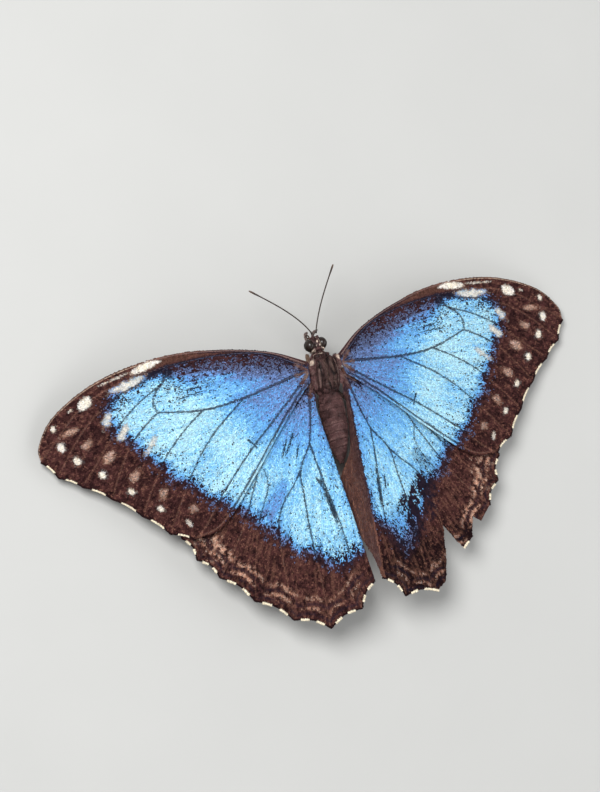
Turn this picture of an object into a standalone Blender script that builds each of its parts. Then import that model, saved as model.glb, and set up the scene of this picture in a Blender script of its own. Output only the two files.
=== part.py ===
"""Blue morpho butterfly at rest, wings spread and a little drooped, at life size.

The head looks towards -Y, the butterfly's left is +X and up is +Z. The feet stand on
Z = 0 and the origin is the middle of the bottom of the box round the whole animal.
Lengths below are in millimetres; the meshes are made in metres.
"""

import math

import bmesh
import bpy
from mathutils import Matrix, Vector

for old in list(bpy.data.objects):
    bpy.data.objects.remove(old, do_unlink=True)

MM = 0.001
GAP = 0.3                          # clearance between two pieces that meet

# Where the wings spring from, and how they are held.
WING_ROOT = Vector((0.06, -18.5, 16.0))  # the point midway between the two wing roots
ROOT_OUT = 4.14                    # from the middle of the body out to a wing root
FLATTEN = math.radians(0.063)      # a wing's slope eases by this much for each mm outwards
WING_PITCH = 0.005                 # rise of a wing for each mm forwards
WING_EDGE = 0.5                    # thickness of a wing solid over its blade
WING_BASE = 0.8                    # and at its hinge
RINGS = (0.0, 0.07, 0.2, 0.4, 0.62, 0.84, 1.0)   # rows of points from the hinge to the margin

# The plan of each wing lies flat: u runs out from the wing root and v forwards.
FOREWING = {
    "hinge": ((-0.3, 1.7), (-0.05, -2.6)),
    "lift": 0.0,
    "droop": math.radians(13.9),
    "swing": math.radians(0.9),
    "costa": ((8.0, 6.5), (20.0, 10.3), (33.0, 12.2), (48.4, 10.8), (60.8, 5.6), (66.2, -0.4)),
    "veins": ((66.6, -4.0), (63.6, -8.6), (58.7, -12.2), (52.8, -16.8), (47.1, -22.6),
              (42.0, -28.3), (36.7, -31.2)),
    "scallop": 0.3,
    "inner": ((29.4, -29.9), (19.2, -20.8), (12.4, -14.0), (5.0, -6.9)),
}
HINDWING = {
    "hinge": ((-0.05, -1.4), (-0.5, -6.4)),
    "lift": -1.15,
    "droop": math.radians(14.4),
    "swing": math.radians(-0.6),
    "costa": ((8.0, -2.4), (20.0, -6.2), (30.6, -11.6), (37.8, -18.0)),
    "veins": ((40.0, -24.4), (38.6, -31.0), (36.4, -36.8), (32.2, -42.2), (25.6, -49.6),
              (17.8, -56.2), (9.8, -60.3), (1.6, -57.6), (-3.4, -52.0)),
    "scallop": 0.7,
}

# The inner edge of a hindwing folds down along a crest and makes half of a trough
# that the abdomen lies in. Each pair is a place along v and the strip's width there.
# Behind the abdomen the right strip slopes in under the left one.
CREST = ((0.9, -7.0), (-2.3, -50.0))
FOLD_WIDTH = {
    1: ((-45.5, 1.5), (-38.0, 3.6), (-29.0, 4.4), (-20.0, 3.8), (-12.5, 2.4)),
    -1: ((-46.5, 2.2), (-40.0, 4.7), (-31.0, 5.9), (-21.0, 5.2), (-12.5, 3.2)),
}
FOLD_BEND = 1.2                    # length over which the strip turns down
FOLD_FRONT = math.radians(92.0)    # its slope beside the abdomen
FOLD_REAR = {1: math.radians(80.0), -1: math.radians(46.0)}   # and behind the abdomen
FOLD_TURNS = (19.0, 30.0)          # the stretch behind the wing roots where the one becomes the other

# The right hindwing is torn: this is its margin between veins M1 and Cu2.
TEAR = ((28.6, -45.4), (26.6, -43.6), (24.9, -48.2), (21.6, -50.3), (19.4, -47.2), (17.3, -43.8),
        (15.7, -52.4), (14.0, -57.0), (11.4, -58.5))

# The trunk, as stations from front to back: place along Y behind the wing roots,
# height of the middle, half width, and reach up and down from the middle.
HEAD = ((-7.5, -3.0, 0.8, 1.0, 1.2), (-7.1, -2.9, 1.35, 1.5, 1.8), (-6.3, -2.7, 1.75, 1.95, 2.3),
        (-5.2, -2.5, 1.95, 2.15, 2.4), (-4.2, -2.5, 1.9, 2.0, 2.2), (-3.3, -2.5, 1.5, 1.6, 1.8))
PROTHORAX = ((-3.0, -2.4, 1.7, 1.9, 2.1), (-2.5, -2.2, 2.25, 2.45, 2.7),
             (-1.9, -2.0, 2.55, 2.75, 3.1))
THORAX = ((-1.6, -1.9, 2.75, 2.9, 3.3), (-1.0, -1.75, 3.25, 3.4, 3.8), (0.2, -1.6, 3.6, 3.9, 4.2),
          (1.8, -1.6, 3.72, 4.1, 4.5), (3.4, -1.8, 3.6, 4.1, 4.4), (4.9, -2.1, 3.3, 3.7, 4.0),
          (6.0, -2.5, 2.9, 3.1, 3.4), (6.5, -2.6, 2.5, 2.7, 3.0))
ABDOMEN_START = 6.8                # from here the abdomen runs back
ABDOMEN_END = 23.4
ABDOMEN_HEIGHT = -2.55             # of its middle line at the start
ABDOMEN_DROP = 3.6                 # how much lower the tip hangs than the start
ABDOMEN_WAIST = 2.4                # radius at the start
ABDOMEN_SWELL = 0.6                # and how much it gains, then loses towards the tip
ABDOMEN_TAPER = 2.45
ABDOMEN_SEGMENTS = 9
ABDOMEN_GROOVE = 0.14              # depth of the ring between two segments

EYE_CENTRE = Vector((1.58, -5.4, -2.5))
EYE_RADII = Vector((1.28, 1.5, 1.72))
BODY_SIDES = 20
BODY_ROUND = 2.3                   # 2 would make the trunk's rings ellipses, more is squarer

# Limbs and mouth parts, as points out to the side, back from the wing roots and up.
LIMB_SIDES = 8
SMALL_SIDES = 6
ANTENNA_SOCKET = (0.55, -7.9, -1.5)
ANTENNA_TIP = {1: (12.3, -21.6, -3.5), -1: (10.1, -23.0, -3.5)}
ANTENNA_BOW = (-0.5, -0.75, 0.7)   # how far its middle stands off a straight line
ANTENNA_RADII = (0.27, 0.25, 0.25, 0.25, 0.25, 0.26, 0.32, 0.36, 0.26)
PALP = ((0.85, -6.95, -5.45), (0.95, -7.95, -5.1), (1.1, -8.4, -4.1), (1.2, -8.5, -3.0),
        (1.3, -8.6, -2.2))
PALP_RADII = (0.34, 0.42, 0.42, 0.36, 0.24)
TONGUE_CENTRE = (0.0, -6.9, -6.25)
TONGUE_START = 0.42                # radius where the coil of the tongue starts
TONGUE_GROWTH = 0.62               # and how much it grows with each turn
TONGUE_TURNS = 1.7
TONGUE_HALF = 0.21                 # half the thickness of the tongue
FORELEG = ((1.1, -0.6, -6.25), (1.15, -1.9, -6.5), (1.1, -3.1, -6.6), (1.05, -3.5, -7.1),
           (1.05, -3.0, -7.6), (1.1, -1.7, -7.75), (1.15, -0.2, -7.7))
FORELEG_RADII = (0.38, 0.38, 0.36, 0.34, 0.33, 0.3, 0.25)
MIDLEG = {"hip": (1.9, 0.4, -6.5), "knee": (8.4, -1.0, -4.8), "ankle": (12.8, -1.6),
          "toe": (17.0, -3.6)}
HINDLEG = {"hip": (1.8, 4.0, -6.6), "knee": (7.0, 11.4, -5.2), "ankle": (10.2, 19.4),
           "toe": (12.4, 24.2)}
LEG_RADII = (0.62, 0.66, 0.55, 0.44, 0.42, 0.4, 0.36, 0.33)   # from the hip to the ankle
FOOT_HALF = 0.32                   # half the thickness of a foot, which lies on the floor


def material(name, colour, roughness, metallic=0.0):
    """A Principled material of its own for one piece."""
    made = bpy.data.materials.new(name)
    made.use_nodes = True
    shader = made.node_tree.nodes["Principled BSDF"]
    shader.inputs["Base Color"].default_value = (*colour, 1.0)
    shader.inputs["Roughness"].default_value = roughness
    shader.inputs["Metallic"].default_value = metallic
    return made


def finish(name, bm, look):
    """Turn a bmesh in millimetres into the named object."""
    bmesh.ops.scale(bm, vec=(MM, MM, MM), verts=bm.verts)
    bmesh.ops.triangulate(bm, faces=bm.faces)
    bmesh.ops.recalc_face_normals(bm, faces=bm.faces)
    mesh = bpy.data.meshes.new(name)
    bm.to_mesh(mesh)
    bm.free()
    mesh.shade_smooth()
    mesh.set_sharp_from_angle(angle=math.radians(50))
    made = bpy.data.objects.new(name, mesh)
    bpy.context.collection.objects.link(made)
    mesh.materials.append(material(name + "_finish", *look))
    return made


def blend(start, end, part):
    """A value that goes from start to end as part goes from 0 to 1."""
    return start + (end - start) * part


def ease(low, high, value):
    """0 below low, 1 above high, and a smooth step between."""
    part = min(max((value - low) / (high - low), 0.0), 1.0)
    return part * part * (3.0 - 2.0 * part)


def smooth_path(knots, spacing):
    """Points about this far apart on a Catmull-Rom curve through the knots."""
    knots = [Vector(knot) for knot in knots]
    first = knots[0] * 2 - knots[1]
    last = knots[-1] * 2 - knots[-2]
    padded = [first, *knots, last]
    path = [knots[0]]
    for before, start, end, after in zip(padded, padded[1:], padded[2:], padded[3:]):
        steps = max(1, round((end - start).length / spacing))
        for step in range(1, steps + 1):
            t = step / steps
            path.append(0.5 * (2 * start + (end - before) * t
                               + (2 * before - 5 * start + 4 * end - after) * t ** 2
                               + (3 * start - before - 3 * end + after) * t ** 3))
    return path


# ---------------------------------------------------------------- trunk and limbs


def loft(name, loops, look):
    """A closed solid through a row of loops that have the same number of points."""
    bm = bmesh.new()
    rows = [[bm.verts.new(point) for point in loop] for loop in loops]
    count = len(rows[0])
    for row, following in zip(rows, rows[1:]):
        for i in range(count):
            j = (i + 1) % count
            bm.faces.new((row[i], row[j], following[j], following[i]))
    bm.faces.new(reversed(rows[0]))
    bm.faces.new(rows[-1])
    return finish(name, bm, look)


def body_loop(station):
    """One ring of the trunk: a rounded oval, flatter at the sides than an ellipse."""
    back, height, half_width, up, down = station
    loop = []
    for i in range(BODY_SIDES):
        turn = math.tau * i / BODY_SIDES
        across, along = math.cos(turn), math.sin(turn)
        reach = up if along > 0 else down
        round_off = (abs(across) ** BODY_ROUND + abs(along) ** BODY_ROUND) ** (-1 / BODY_ROUND)
        offset = Vector((across * round_off * half_width, back, height + along * round_off * reach))
        loop.append(WING_ROOT + offset)
    return loop


def trunk(name, stations, look):
    """A piece of the trunk."""
    return loft(name, [body_loop(station) for station in stations], look)


def abdomen_stations():
    """Rings of the abdomen: it swells, tapers to its tip and has a groove between segments."""
    stations = []
    rows = ABDOMEN_SEGMENTS * 3
    for row in range(rows + 1):
        part = row / rows
        swell = ABDOMEN_WAIST + ABDOMEN_SWELL * ease(0.0, 0.25, part)
        swell -= ABDOMEN_TAPER * ease(0.45, 1.25, part)
        swell *= 1.0 - 0.6 * ease(0.92, 1.0, part)
        if row % 3 == 0:
            swell -= ABDOMEN_GROOVE
        back = blend(ABDOMEN_START, ABDOMEN_END, part)
        height = ABDOMEN_HEIGHT - ABDOMEN_DROP * part ** 1.1
        stations.append((back, height, swell, swell * 0.98, swell * 1.05))
    return stations


def limb(name, path, radii, look, sides=LIMB_SIDES):
    """A tapering tube along a path of points, its rings upright so that a foot lies flat."""
    path = [Vector(point) for point in path]
    loops = []
    side = None
    for i, point in enumerate(path):
        ahead = path[min(i + 1, len(path) - 1)] - path[max(i - 1, 0)]
        ahead.normalize()
        level = ahead.cross(Vector((0, 0, 1))).normalized()
        side = -level if side and side.dot(level) < 0 else level
        up = side.cross(ahead)
        loop = []
        for k in range(sides):
            turn = math.tau * (k + 0.5) / sides
            offset = side * math.cos(turn) + up * math.sin(turn)
            loop.append(point + offset * radii[i] / math.cos(math.pi / sides))
        loops.append(loop)
    return loft(name, loops, look)


def at_body(side, out, back, height):
    """A point given from the middle of the wing roots, on the side named by +1 or -1."""
    return WING_ROOT + Vector((side * out, back, height))


def on_floor(side, out, back):
    """A point on the middle line of a foot."""
    return Vector((side * out, WING_ROOT.y + back, FOOT_HALF))


def walking_leg(name, side, hip, knee, ankle, toe, look):
    """Hip, thigh, shin and a foot that lies on the floor, as one bent limb."""
    hip, knee = at_body(side, *hip), at_body(side, *knee)
    heel, tip = on_floor(side, *ankle), on_floor(side, *toe)
    above_heel = blend(heel, knee, 0.12)
    path = [hip, blend(hip, knee, 0.12), blend(hip, knee, 0.5), blend(hip, knee, 0.93), knee,
            blend(knee, heel, 0.07), blend(knee, heel, 0.5), above_heel,
            blend(heel, tip, 0.12), blend(heel, tip, 0.5), tip]
    return limb(name, path, (*LEG_RADII, FOOT_HALF, FOOT_HALF, FOOT_HALF), look)


# ------------------------------------------------------------------------- wings


def scallops(tips, depth, cuts):
    """The outer margin: from vein end to vein end, drawn in by the depth between them."""
    margin = []
    for start, end in zip(tips, tips[1:]):
        start, end = Vector(start), Vector(end)
        chord = end - start
        inward = Vector((chord.y, -chord.x)).normalized()
        for cut in range(cuts):
            part = cut / cuts
            margin.append(start + chord * part + inward * depth * math.sin(math.pi * part))
    margin.append(Vector(tips[-1]))
    return margin


def crest_out(v):
    """How far out the crest of a hindwing's fold lies, at this place along v."""
    (front_u, front_v), (rear_u, rear_v) = CREST
    return blend(front_u, rear_u, (v - front_v) / (rear_v - front_v))


def forewing_margin():
    """The forewing's edge: costa, apex, outer margin, and the inner margin back to the hinge."""
    costa = smooth_path((*FOREWING["costa"], FOREWING["veins"][0]), 5.5)
    outer = scallops(FOREWING["veins"], FOREWING["scallop"], 2)
    inner = smooth_path((FOREWING["veins"][-1], *FOREWING["inner"]), 6.0)
    return costa[:-1] + outer + inner[1:]


def hindwing_margin(side):
    """The hindwing's edge: costa, scalloped outer margin, and the free edge of the fold."""
    veins = HINDWING["veins"]
    costa = smooth_path((*HINDWING["costa"], veins[0]), 6.0)
    if side < 0:
        outer = scallops(veins[:4], HINDWING["scallop"], 3)
        outer += [Vector(point) for point in TEAR[:-1]]
        outer += scallops((TEAR[-1], *veins[7:]), HINDWING["scallop"], 3)
    else:
        outer = scallops(veins, HINDWING["scallop"], 3)
    free_edge = [(crest_out(v) - width, v) for v, width in FOLD_WIDTH[side]]
    fold = smooth_path((veins[-1], *free_edge), 6.0)
    return costa[:-1] + outer + fold[1:]


def lay(wing, side, u, v):
    """The place on the held wing of a point of its plan."""
    folded = 0.0
    if wing is HINDWING and v < CREST[0][1]:
        folded = max(crest_out(v) - u, 0.0)
        u += folded
    sine, cosine = math.sin(wing["swing"]), math.cos(wing["swing"])
    out = u * cosine + side * v * sine
    forward = v * cosine - side * u * sine
    slope = wing["droop"] - FLATTEN * out
    level = (math.sin(wing["droop"]) - math.sin(slope)) / FLATTEN
    drop = (math.cos(slope) - math.cos(wing["droop"])) / FLATTEN
    turn = blend(FOLD_FRONT, FOLD_REAR[side], ease(*FOLD_TURNS, -v))
    bent = min(folded, FOLD_BEND)
    angle = turn * bent / FOLD_BEND
    level -= FOLD_BEND / turn * math.sin(angle) + (folded - bent) * math.cos(turn)
    drop += FOLD_BEND / turn * (1.0 - math.cos(angle)) + (folded - bent) * math.sin(turn)
    return WING_ROOT + Vector((side * (ROOT_OUT + level), -forward,
                               wing["lift"] - drop + WING_PITCH * forward))


def wing_solid(name, wing, side, margin, look):
    """A wing as a thin closed blade, thickest at its hinge."""
    front, rear = (Vector(end) for end in wing["hinge"])
    step = 0.05
    bm = bmesh.new()
    upper, lower = [], []
    for i, edge in enumerate(margin):
        hinge = front.lerp(rear, i / (len(margin) - 1))
        top_row, bottom_row = [], []
        for ring in RINGS:
            u, v = hinge.lerp(edge, ring)
            middle = lay(wing, side, u, v)
            along_u = lay(wing, side, u + step, v) - lay(wing, side, u - step, v)
            along_v = lay(wing, side, u, v + step) - lay(wing, side, u, v - step)
            normal = along_u.cross(along_v).normalized() * side
            half = 0.5 * blend(WING_EDGE, WING_BASE, (1.0 - ring) ** 3)
            top_row.append(bm.verts.new(middle - normal * half))
            bottom_row.append(bm.verts.new(middle + normal * half))
        upper.append(top_row)
        lower.append(bottom_row)
    last = len(RINGS) - 1
    for rows in (upper, lower):
        for row, following in zip(rows, rows[1:]):
            for k in range(last):
                bm.faces.new((row[k], row[k + 1], following[k + 1], following[k]))
    for i in range(len(margin) - 1):
        for k in (0, last):
            bm.faces.new((upper[i][k], upper[i + 1][k], lower[i + 1][k], lower[i][k]))
    for i in (0, len(margin) - 1):
        for k in range(last):
            bm.faces.new((upper[i][k], upper[i][k + 1], lower[i][k + 1], lower[i][k]))
    return finish(name, bm, look)


# -------------------------------------------------------------------------- head


def ellipsoid(name, centre, radii, look):
    """An eye, or the cutter for its socket."""
    bm = bmesh.new()
    bmesh.ops.create_uvsphere(bm, u_segments=14, v_segments=9, radius=1.0)
    turn = Matrix.Rotation(math.pi / 2, 4, "Y")
    bmesh.ops.transform(bm, matrix=Matrix.Translation(centre) @ Matrix.Diagonal((*radii, 1.0)) @ turn,
                        verts=bm.verts)
    return finish(name, bm, look)


def eye(side, head, look):
    """A compound eye, set in a socket cut from the head."""
    word = "left" if side > 0 else "right"
    centre = at_body(side, EYE_CENTRE.x, EYE_CENTRE.y, EYE_CENTRE.z)
    ellipsoid("eye_" + word, centre, EYE_RADII, look)
    cutter = ellipsoid("socket_" + word, centre, EYE_RADII + Vector((GAP, GAP, GAP)), look)
    cutter.hide_render = True
    cutter.display_type = "WIRE"
    socket = head.modifiers.new("socket_" + word, "BOOLEAN")
    socket.operation = "DIFFERENCE"
    socket.solver = "EXACT"
    socket.object = cutter


def antenna(side, look):
    """A slender feeler with a slim club at its end."""
    word = "left" if side > 0 else "right"
    socket = at_body(side, *ANTENNA_SOCKET)
    tip = at_body(side, *ANTENNA_TIP[side])
    out, back, up = ANTENNA_BOW
    bow = Vector((side * out, back, up))
    last = len(ANTENNA_RADII) - 1
    path = [blend(socket, tip, i / last) + bow * math.sin(math.pi * (i / last) ** 0.7)
            for i in range(last + 1)]
    limb("antenna_" + word, path, ANTENNA_RADII, look, SMALL_SIDES)


def palp(side, look):
    """A scaly feeler beside the tongue, turned up in front of the face."""
    word = "left" if side > 0 else "right"
    limb("palp_" + word, [at_body(side, *point) for point in PALP], PALP_RADII, look, SMALL_SIDES)


def proboscis(look):
    """The tongue, coiled like a watch spring below the face."""
    steps = 20
    centre = at_body(1, *TONGUE_CENTRE)
    loops = []
    for i in range(steps + 1):
        turn = math.tau * TONGUE_TURNS * i / steps
        radius = TONGUE_START + TONGUE_GROWTH * turn / math.tau
        outward = Vector((0.0, -math.sin(turn), math.cos(turn)))
        loop = []
        for k in range(SMALL_SIDES):
            around = math.tau * k / SMALL_SIDES
            loop.append(centre + outward * (radius + TONGUE_HALF * math.cos(around))
                        + Vector((TONGUE_HALF * math.sin(around), 0.0, 0.0)))
        loops.append(loop)
    loft("proboscis", loops, look)


# --------------------------------------------------------------------- assembly


BLUE = ((0.05, 0.20, 0.62), 0.35, 0.5)
EARTH = ((0.045, 0.028, 0.02), 0.8)
SLATE = ((0.05, 0.045, 0.045), 0.75)
HORN = ((0.03, 0.022, 0.018), 0.5)
TAN = ((0.20, 0.13, 0.09), 0.8)
EYE = ((0.02, 0.015, 0.012), 0.25)

head = trunk("head", HEAD, EARTH)
trunk("prothorax", PROTHORAX, SLATE)
trunk("thorax", THORAX, EARTH)
trunk("abdomen", abdomen_stations(), SLATE)
proboscis(HORN)

for side, word in ((1, "left"), (-1, "right")):
    eye(side, head, EYE)
    antenna(side, HORN)
    palp(side, TAN)
    wing_solid("forewing_" + word, FOREWING, side, forewing_margin(), BLUE)
    wing_solid("hindwing_" + word, HINDWING, side, hindwing_margin(side), BLUE)
    foreleg = [at_body(side, *point) for point in FORELEG]
    limb("foreleg_" + word, foreleg, FORELEG_RADII, TAN, SMALL_SIDES)
    walking_leg("midleg_" + word, side, look=HORN, **MIDLEG)
    walking_leg("hindleg_" + word, side, look=HORN, **HINDLEG)
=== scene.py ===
"""Blue morpho butterfly at rest: the finish of every surface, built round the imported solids.

Shapes are worked out in millimetres, in the same frame as the solids, and each mesh is
written in metres. The head looks towards -Y, the butterfly's left is +X and up is +Z.
"""

import math

import bmesh
import bpy
import numpy as np
from mathutils import Matrix, Vector
from mathutils.geometry import delaunay_2d_cdt


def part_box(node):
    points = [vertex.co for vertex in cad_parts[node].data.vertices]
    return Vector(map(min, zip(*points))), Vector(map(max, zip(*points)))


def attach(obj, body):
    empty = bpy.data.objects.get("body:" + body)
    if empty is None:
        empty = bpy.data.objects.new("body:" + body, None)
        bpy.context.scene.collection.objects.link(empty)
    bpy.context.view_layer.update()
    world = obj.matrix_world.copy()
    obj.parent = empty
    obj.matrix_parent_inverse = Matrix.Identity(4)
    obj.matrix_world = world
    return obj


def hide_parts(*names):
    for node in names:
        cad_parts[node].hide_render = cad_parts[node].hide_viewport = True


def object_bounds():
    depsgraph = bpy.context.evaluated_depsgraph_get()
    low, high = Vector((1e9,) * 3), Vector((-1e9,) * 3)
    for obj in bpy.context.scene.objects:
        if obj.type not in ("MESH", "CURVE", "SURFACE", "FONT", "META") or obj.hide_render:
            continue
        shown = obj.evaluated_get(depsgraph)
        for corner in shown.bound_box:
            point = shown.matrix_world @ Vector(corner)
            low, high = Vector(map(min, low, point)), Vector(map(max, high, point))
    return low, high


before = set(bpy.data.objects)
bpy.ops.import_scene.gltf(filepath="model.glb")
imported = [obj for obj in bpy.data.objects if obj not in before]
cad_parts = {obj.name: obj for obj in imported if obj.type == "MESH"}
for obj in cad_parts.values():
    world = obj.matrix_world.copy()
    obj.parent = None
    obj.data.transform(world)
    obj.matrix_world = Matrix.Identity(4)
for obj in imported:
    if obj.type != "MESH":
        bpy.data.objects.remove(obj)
cad_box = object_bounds()

# ------------------------------------------------------------------- trunk skin
# Head, neck, thorax and abdomen are one horny skin: plates that bulge where the flight
# muscles pull, hoods over the wing hinges, and nine telescoping rings on the abdomen.
# It lies inside the solids by the depth of the hair that covers it.

MM = 0.001
thorax_low, thorax_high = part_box("thorax")
ROOT_BACK, ROOT_DOWN = 1.6, 2.5    # of the wing roots, from the thorax's front and its top
ROOT = np.array(((thorax_low.x + thorax_high.x) / 2 / MM, thorax_low.y / MM + ROOT_BACK,
                 thorax_high.z / MM - ROOT_DOWN))    # midway between the two wing roots
HAIR_DEPTH = 0.42                  # how far the skin lies inside the solid of the thorax
COLLAR_DEPTH, DOWN_DEPTH = 0.25, 0.2    # and inside those of the collar and the abdomen
SKIN_VOXEL, SKIN_SMOOTHING = 0.115, 3
BODY_ROUND = 2.3                   # 2 is an ellipse, more is squarer
RING_POINTS = 40
# Stations of the trunk: place behind the wing roots, height, half width, reach up and down.
THORAX = ((-1.75, -1.95, 2.6, 2.7, 3.1), (-1.0, -1.75, 3.2, 3.25, 3.8), (0.2, -1.6, 3.6, 3.5, 4.2),
          (1.8, -1.6, 3.72, 3.6, 4.5), (3.4, -1.8, 3.6, 3.6, 4.4), (4.9, -2.1, 3.3, 3.2, 4.0),
          (6.0, -2.5, 2.9, 2.9, 3.4), (6.9, -2.6, 2.4, 2.5, 2.9))
COLLAR = ((-3.3, -2.5, 1.55, 1.7, 1.9), (-2.7, -2.3, 2.1, 2.2, 2.5), (-2.1, -2.05, 2.45, 2.55, 2.9),
          (-1.5, -1.9, 2.6, 2.6, 3.0))
ABDOMEN_START, ABDOMEN_END = 6.5, 23.2
ABDOMEN_HEIGHT, ABDOMEN_DROOP = -2.55, 3.6    # of its middle, and how far that sinks on the way back
ABDOMEN_WAIST, ABDOMEN_SWELL, ABDOMEN_TAPER = 2.4, 0.6, 2.45    # half width: start, gain and loss
ABDOMEN_TIP = (0.28, 0.3, 0.3)
ABDOMEN_GROOVE = 0.06
SEGMENTS = 9
SEGMENT_RIM = ((0.0, -0.17), (0.07, -0.1), (0.25, 0.0), (0.6, 0.035), (0.88, 0.03), (0.97, -0.01))
# Plates and bulges: place, radii and lean in degrees. Each off the middle line is one of a pair.
BULGES = (
    ((1.3, 1.0, 0.2), (1.45, 3.1, 1.85), (0, 0, 0)),           # flight muscles
    ((0, 4.75, 0.15), (1.7, 1.15, 1.2), (0, 0, 0)),            # scutellum
    ((1.0, 5.9, -0.35), (0.9, 0.65, 0.7), (0, 0, 0)),          # behind it
    ((2.75, -0.75, 0.75), (0.85, 1.35, 0.6), (0, 35, 12)),     # hoods
    ((3.35, 0.3, 0.0), (0.7, 1.2, 0.55), (0, 20, 0)),          # hinges
    ((3.2, 3.3, -0.9), (0.75, 1.5, 0.55), (0, 20, 0)),
    ((0.95, -2.45, -0.45), (0.95, 0.5, 0.6), (0, 0, 0)),       # collar lobes
    ((2.1, 0.1, -2.9), (1.25, 1.7, 2.2), (0, 12, 0)),          # side plates
    ((2.0, 3.4, -2.9), (1.2, 1.6, 2.1), (0, 12, 0)),
    ((1.0, -1.7, -4.7), (0.5, 0.6, 1.0), (-20, 0, 0)),         # where legs join
    ((1.45, 0.4, -5.1), (0.7, 0.85, 1.15), (-12, -12, 0)),
    ((1.35, 3.6, -5.2), (0.7, 0.9, 1.15), (-8, -12, 0)),
    ((0, -3.4, -2.5), (1.05, 1.0, 1.1), (0, 0, 0)),            # neck
    ((0, -5.25, -2.5), (1.42, 1.9, 1.9), (0, 0, 0)),           # skull
    ((0, -6.55, -2.75), (0.95, 0.75, 1.35), (0, 0, 0)),        # face
    ((0, -6.75, -4.05), (0.6, 0.5, 0.6), (0, 0, 0)),           # mouth
    ((0.95, -4.1, -2.5), (0.85, 0.55, 1.45), (0, 0, 0)),       # back of the head
    ((0.5, -6.9, -1.35), (0.33, 0.45, 0.36), (30, 0, 0)),      # feeler sockets
    ((0.35, 22.9, -6.1), (0.22, 0.55, 0.3), (0, 0, 0)),        # claspers
)
# Numbers without a pattern, which scatter the corners of the mottling's cells.
SCATTER_SEED, SCATTER_STEPS, SCATTER_SPREAD = 12.9898, (78.233, 37.719, 53.137), 43758.5453


def ease(low, high, value):
    """0 at low, 1 at high, and a smooth step between; low may be the greater."""
    part = np.clip((value - low) / (high - low), 0.0, 1.0)
    return part * part * (3.0 - 2.0 * part)


def near(value, centre, reach):
    """1 at the centre, falling smoothly to 0 at this reach from it."""
    return ease(reach, 0.0, np.abs(value - centre))


def mottle(size, seed, *places):
    """Smooth random values from 0 to 1, in blotches of about this size."""
    total = 0.0
    cells = [np.asarray(place, float) / size for place in places]
    floors = [np.floor(cell) for cell in cells]
    parts = [(cell - floor) ** 2 * (3 - 2 * (cell - floor)) for cell, floor in zip(cells, floors)]
    for corner in range(2 ** len(cells)):
        weight, mixed = 1.0, float(seed) * SCATTER_SEED
        for axis, (floor, part) in enumerate(zip(floors, parts)):
            step = corner >> axis & 1
            weight = weight * (part if step else 1 - part)
            mixed = mixed + (floor + step) * SCATTER_STEPS[axis]
        total = total + weight * (np.sin(mixed) * SCATTER_SPREAD % 1.0)
    return total


def facing_out(points, corners):
    """The corners, turned over if the closed skin they make was inside out."""
    a, b, c = (points[corners[:, k]] for k in range(3))
    return corners if np.einsum("ij,ij", a, np.cross(b, c)) > 0 else corners[:, ::-1]


def joined(shapes):
    """Several shapes as one pair of arrays."""
    starts = np.cumsum([0] + [len(points) for points, _ in shapes])
    return (np.concatenate([points for points, _ in shapes]),
            np.concatenate([corners + start for (_, corners), start in zip(shapes, starts)]))


def loft(rings):
    """A closed skin through rings that have the same number of points."""
    rings = np.asarray(rings, float)
    rows, count = rings.shape[:2]
    points = np.concatenate((rings.reshape(-1, 3), rings[[0, -1]].mean(1)))
    here = np.arange(rows - 1)[:, None] * count + np.arange(count)
    along = np.arange(rows - 1)[:, None] * count + (np.arange(count) + 1) % count
    first, after = np.arange(count), (np.arange(count) + 1) % count
    last, hub = (rows - 1) * count, rows * count
    corners = np.concatenate((
        np.stack((here, along, along + count), -1).reshape(-1, 3),
        np.stack((here, along + count, here + count), -1).reshape(-1, 3),
        np.stack((after, first, np.full(count, hub)), -1),
        np.stack((first + last, after + last, np.full(count, hub + 1)), -1)))
    return points, facing_out(points, corners)


def ball(centre, radii, lean):
    """An ellipsoid, leant by angles in degrees about X, Y and Z."""
    bm = bmesh.new()
    bmesh.ops.create_icosphere(bm, subdivisions=3, radius=1.0)
    points = np.array([vert.co for vert in bm.verts])
    corners = np.array([[vert.index for vert in face.verts] for face in bm.faces])
    bm.free()
    turn = np.array(Matrix.Rotation(math.radians(lean[2]), 3, "Z")
                    @ Matrix.Rotation(math.radians(lean[1]), 3, "Y")
                    @ Matrix.Rotation(math.radians(lean[0]), 3, "X"))
    return points * radii @ turn.T + centre, corners


def bulges():
    """The plates and bulges as balls, with the twin of each that stands off the middle line."""
    balls = []
    for (x, y, z), radii, (a, b, c) in BULGES:
        balls.append(ball(ROOT + (x, y, z), radii, (a, b, c)))
        if x:
            balls.append(ball(ROOT + (-x, y, z), radii, (a, -b, -c)))
    return balls


def body_ring(back, height, half, up, down, groove=0.0):
    """One ring of the trunk, a rounded oval, with a groove low on each side if asked."""
    turn = np.arange(RING_POINTS) * math.tau / RING_POINTS
    across, along = np.cos(turn), np.sin(turn)
    square = (np.abs(across) ** BODY_ROUND + np.abs(along) ** BODY_ROUND) ** (-1 / BODY_ROUND)
    square = square * (1 - groove * near(np.abs(across), 0.86, 0.14) * (along < 0))
    reach = np.where(along > 0, up, down)
    return ROOT + np.stack((across * square * half, np.full(RING_POINTS, back),
                            height + along * square * reach), -1)


def sunk(stations, depth):
    """A closed skin through stations of the trunk, this far inside the solid."""
    return loft([body_ring(back, height, half - depth, up - depth, down - depth)
                 for back, height, half, up, down in stations])


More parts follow.
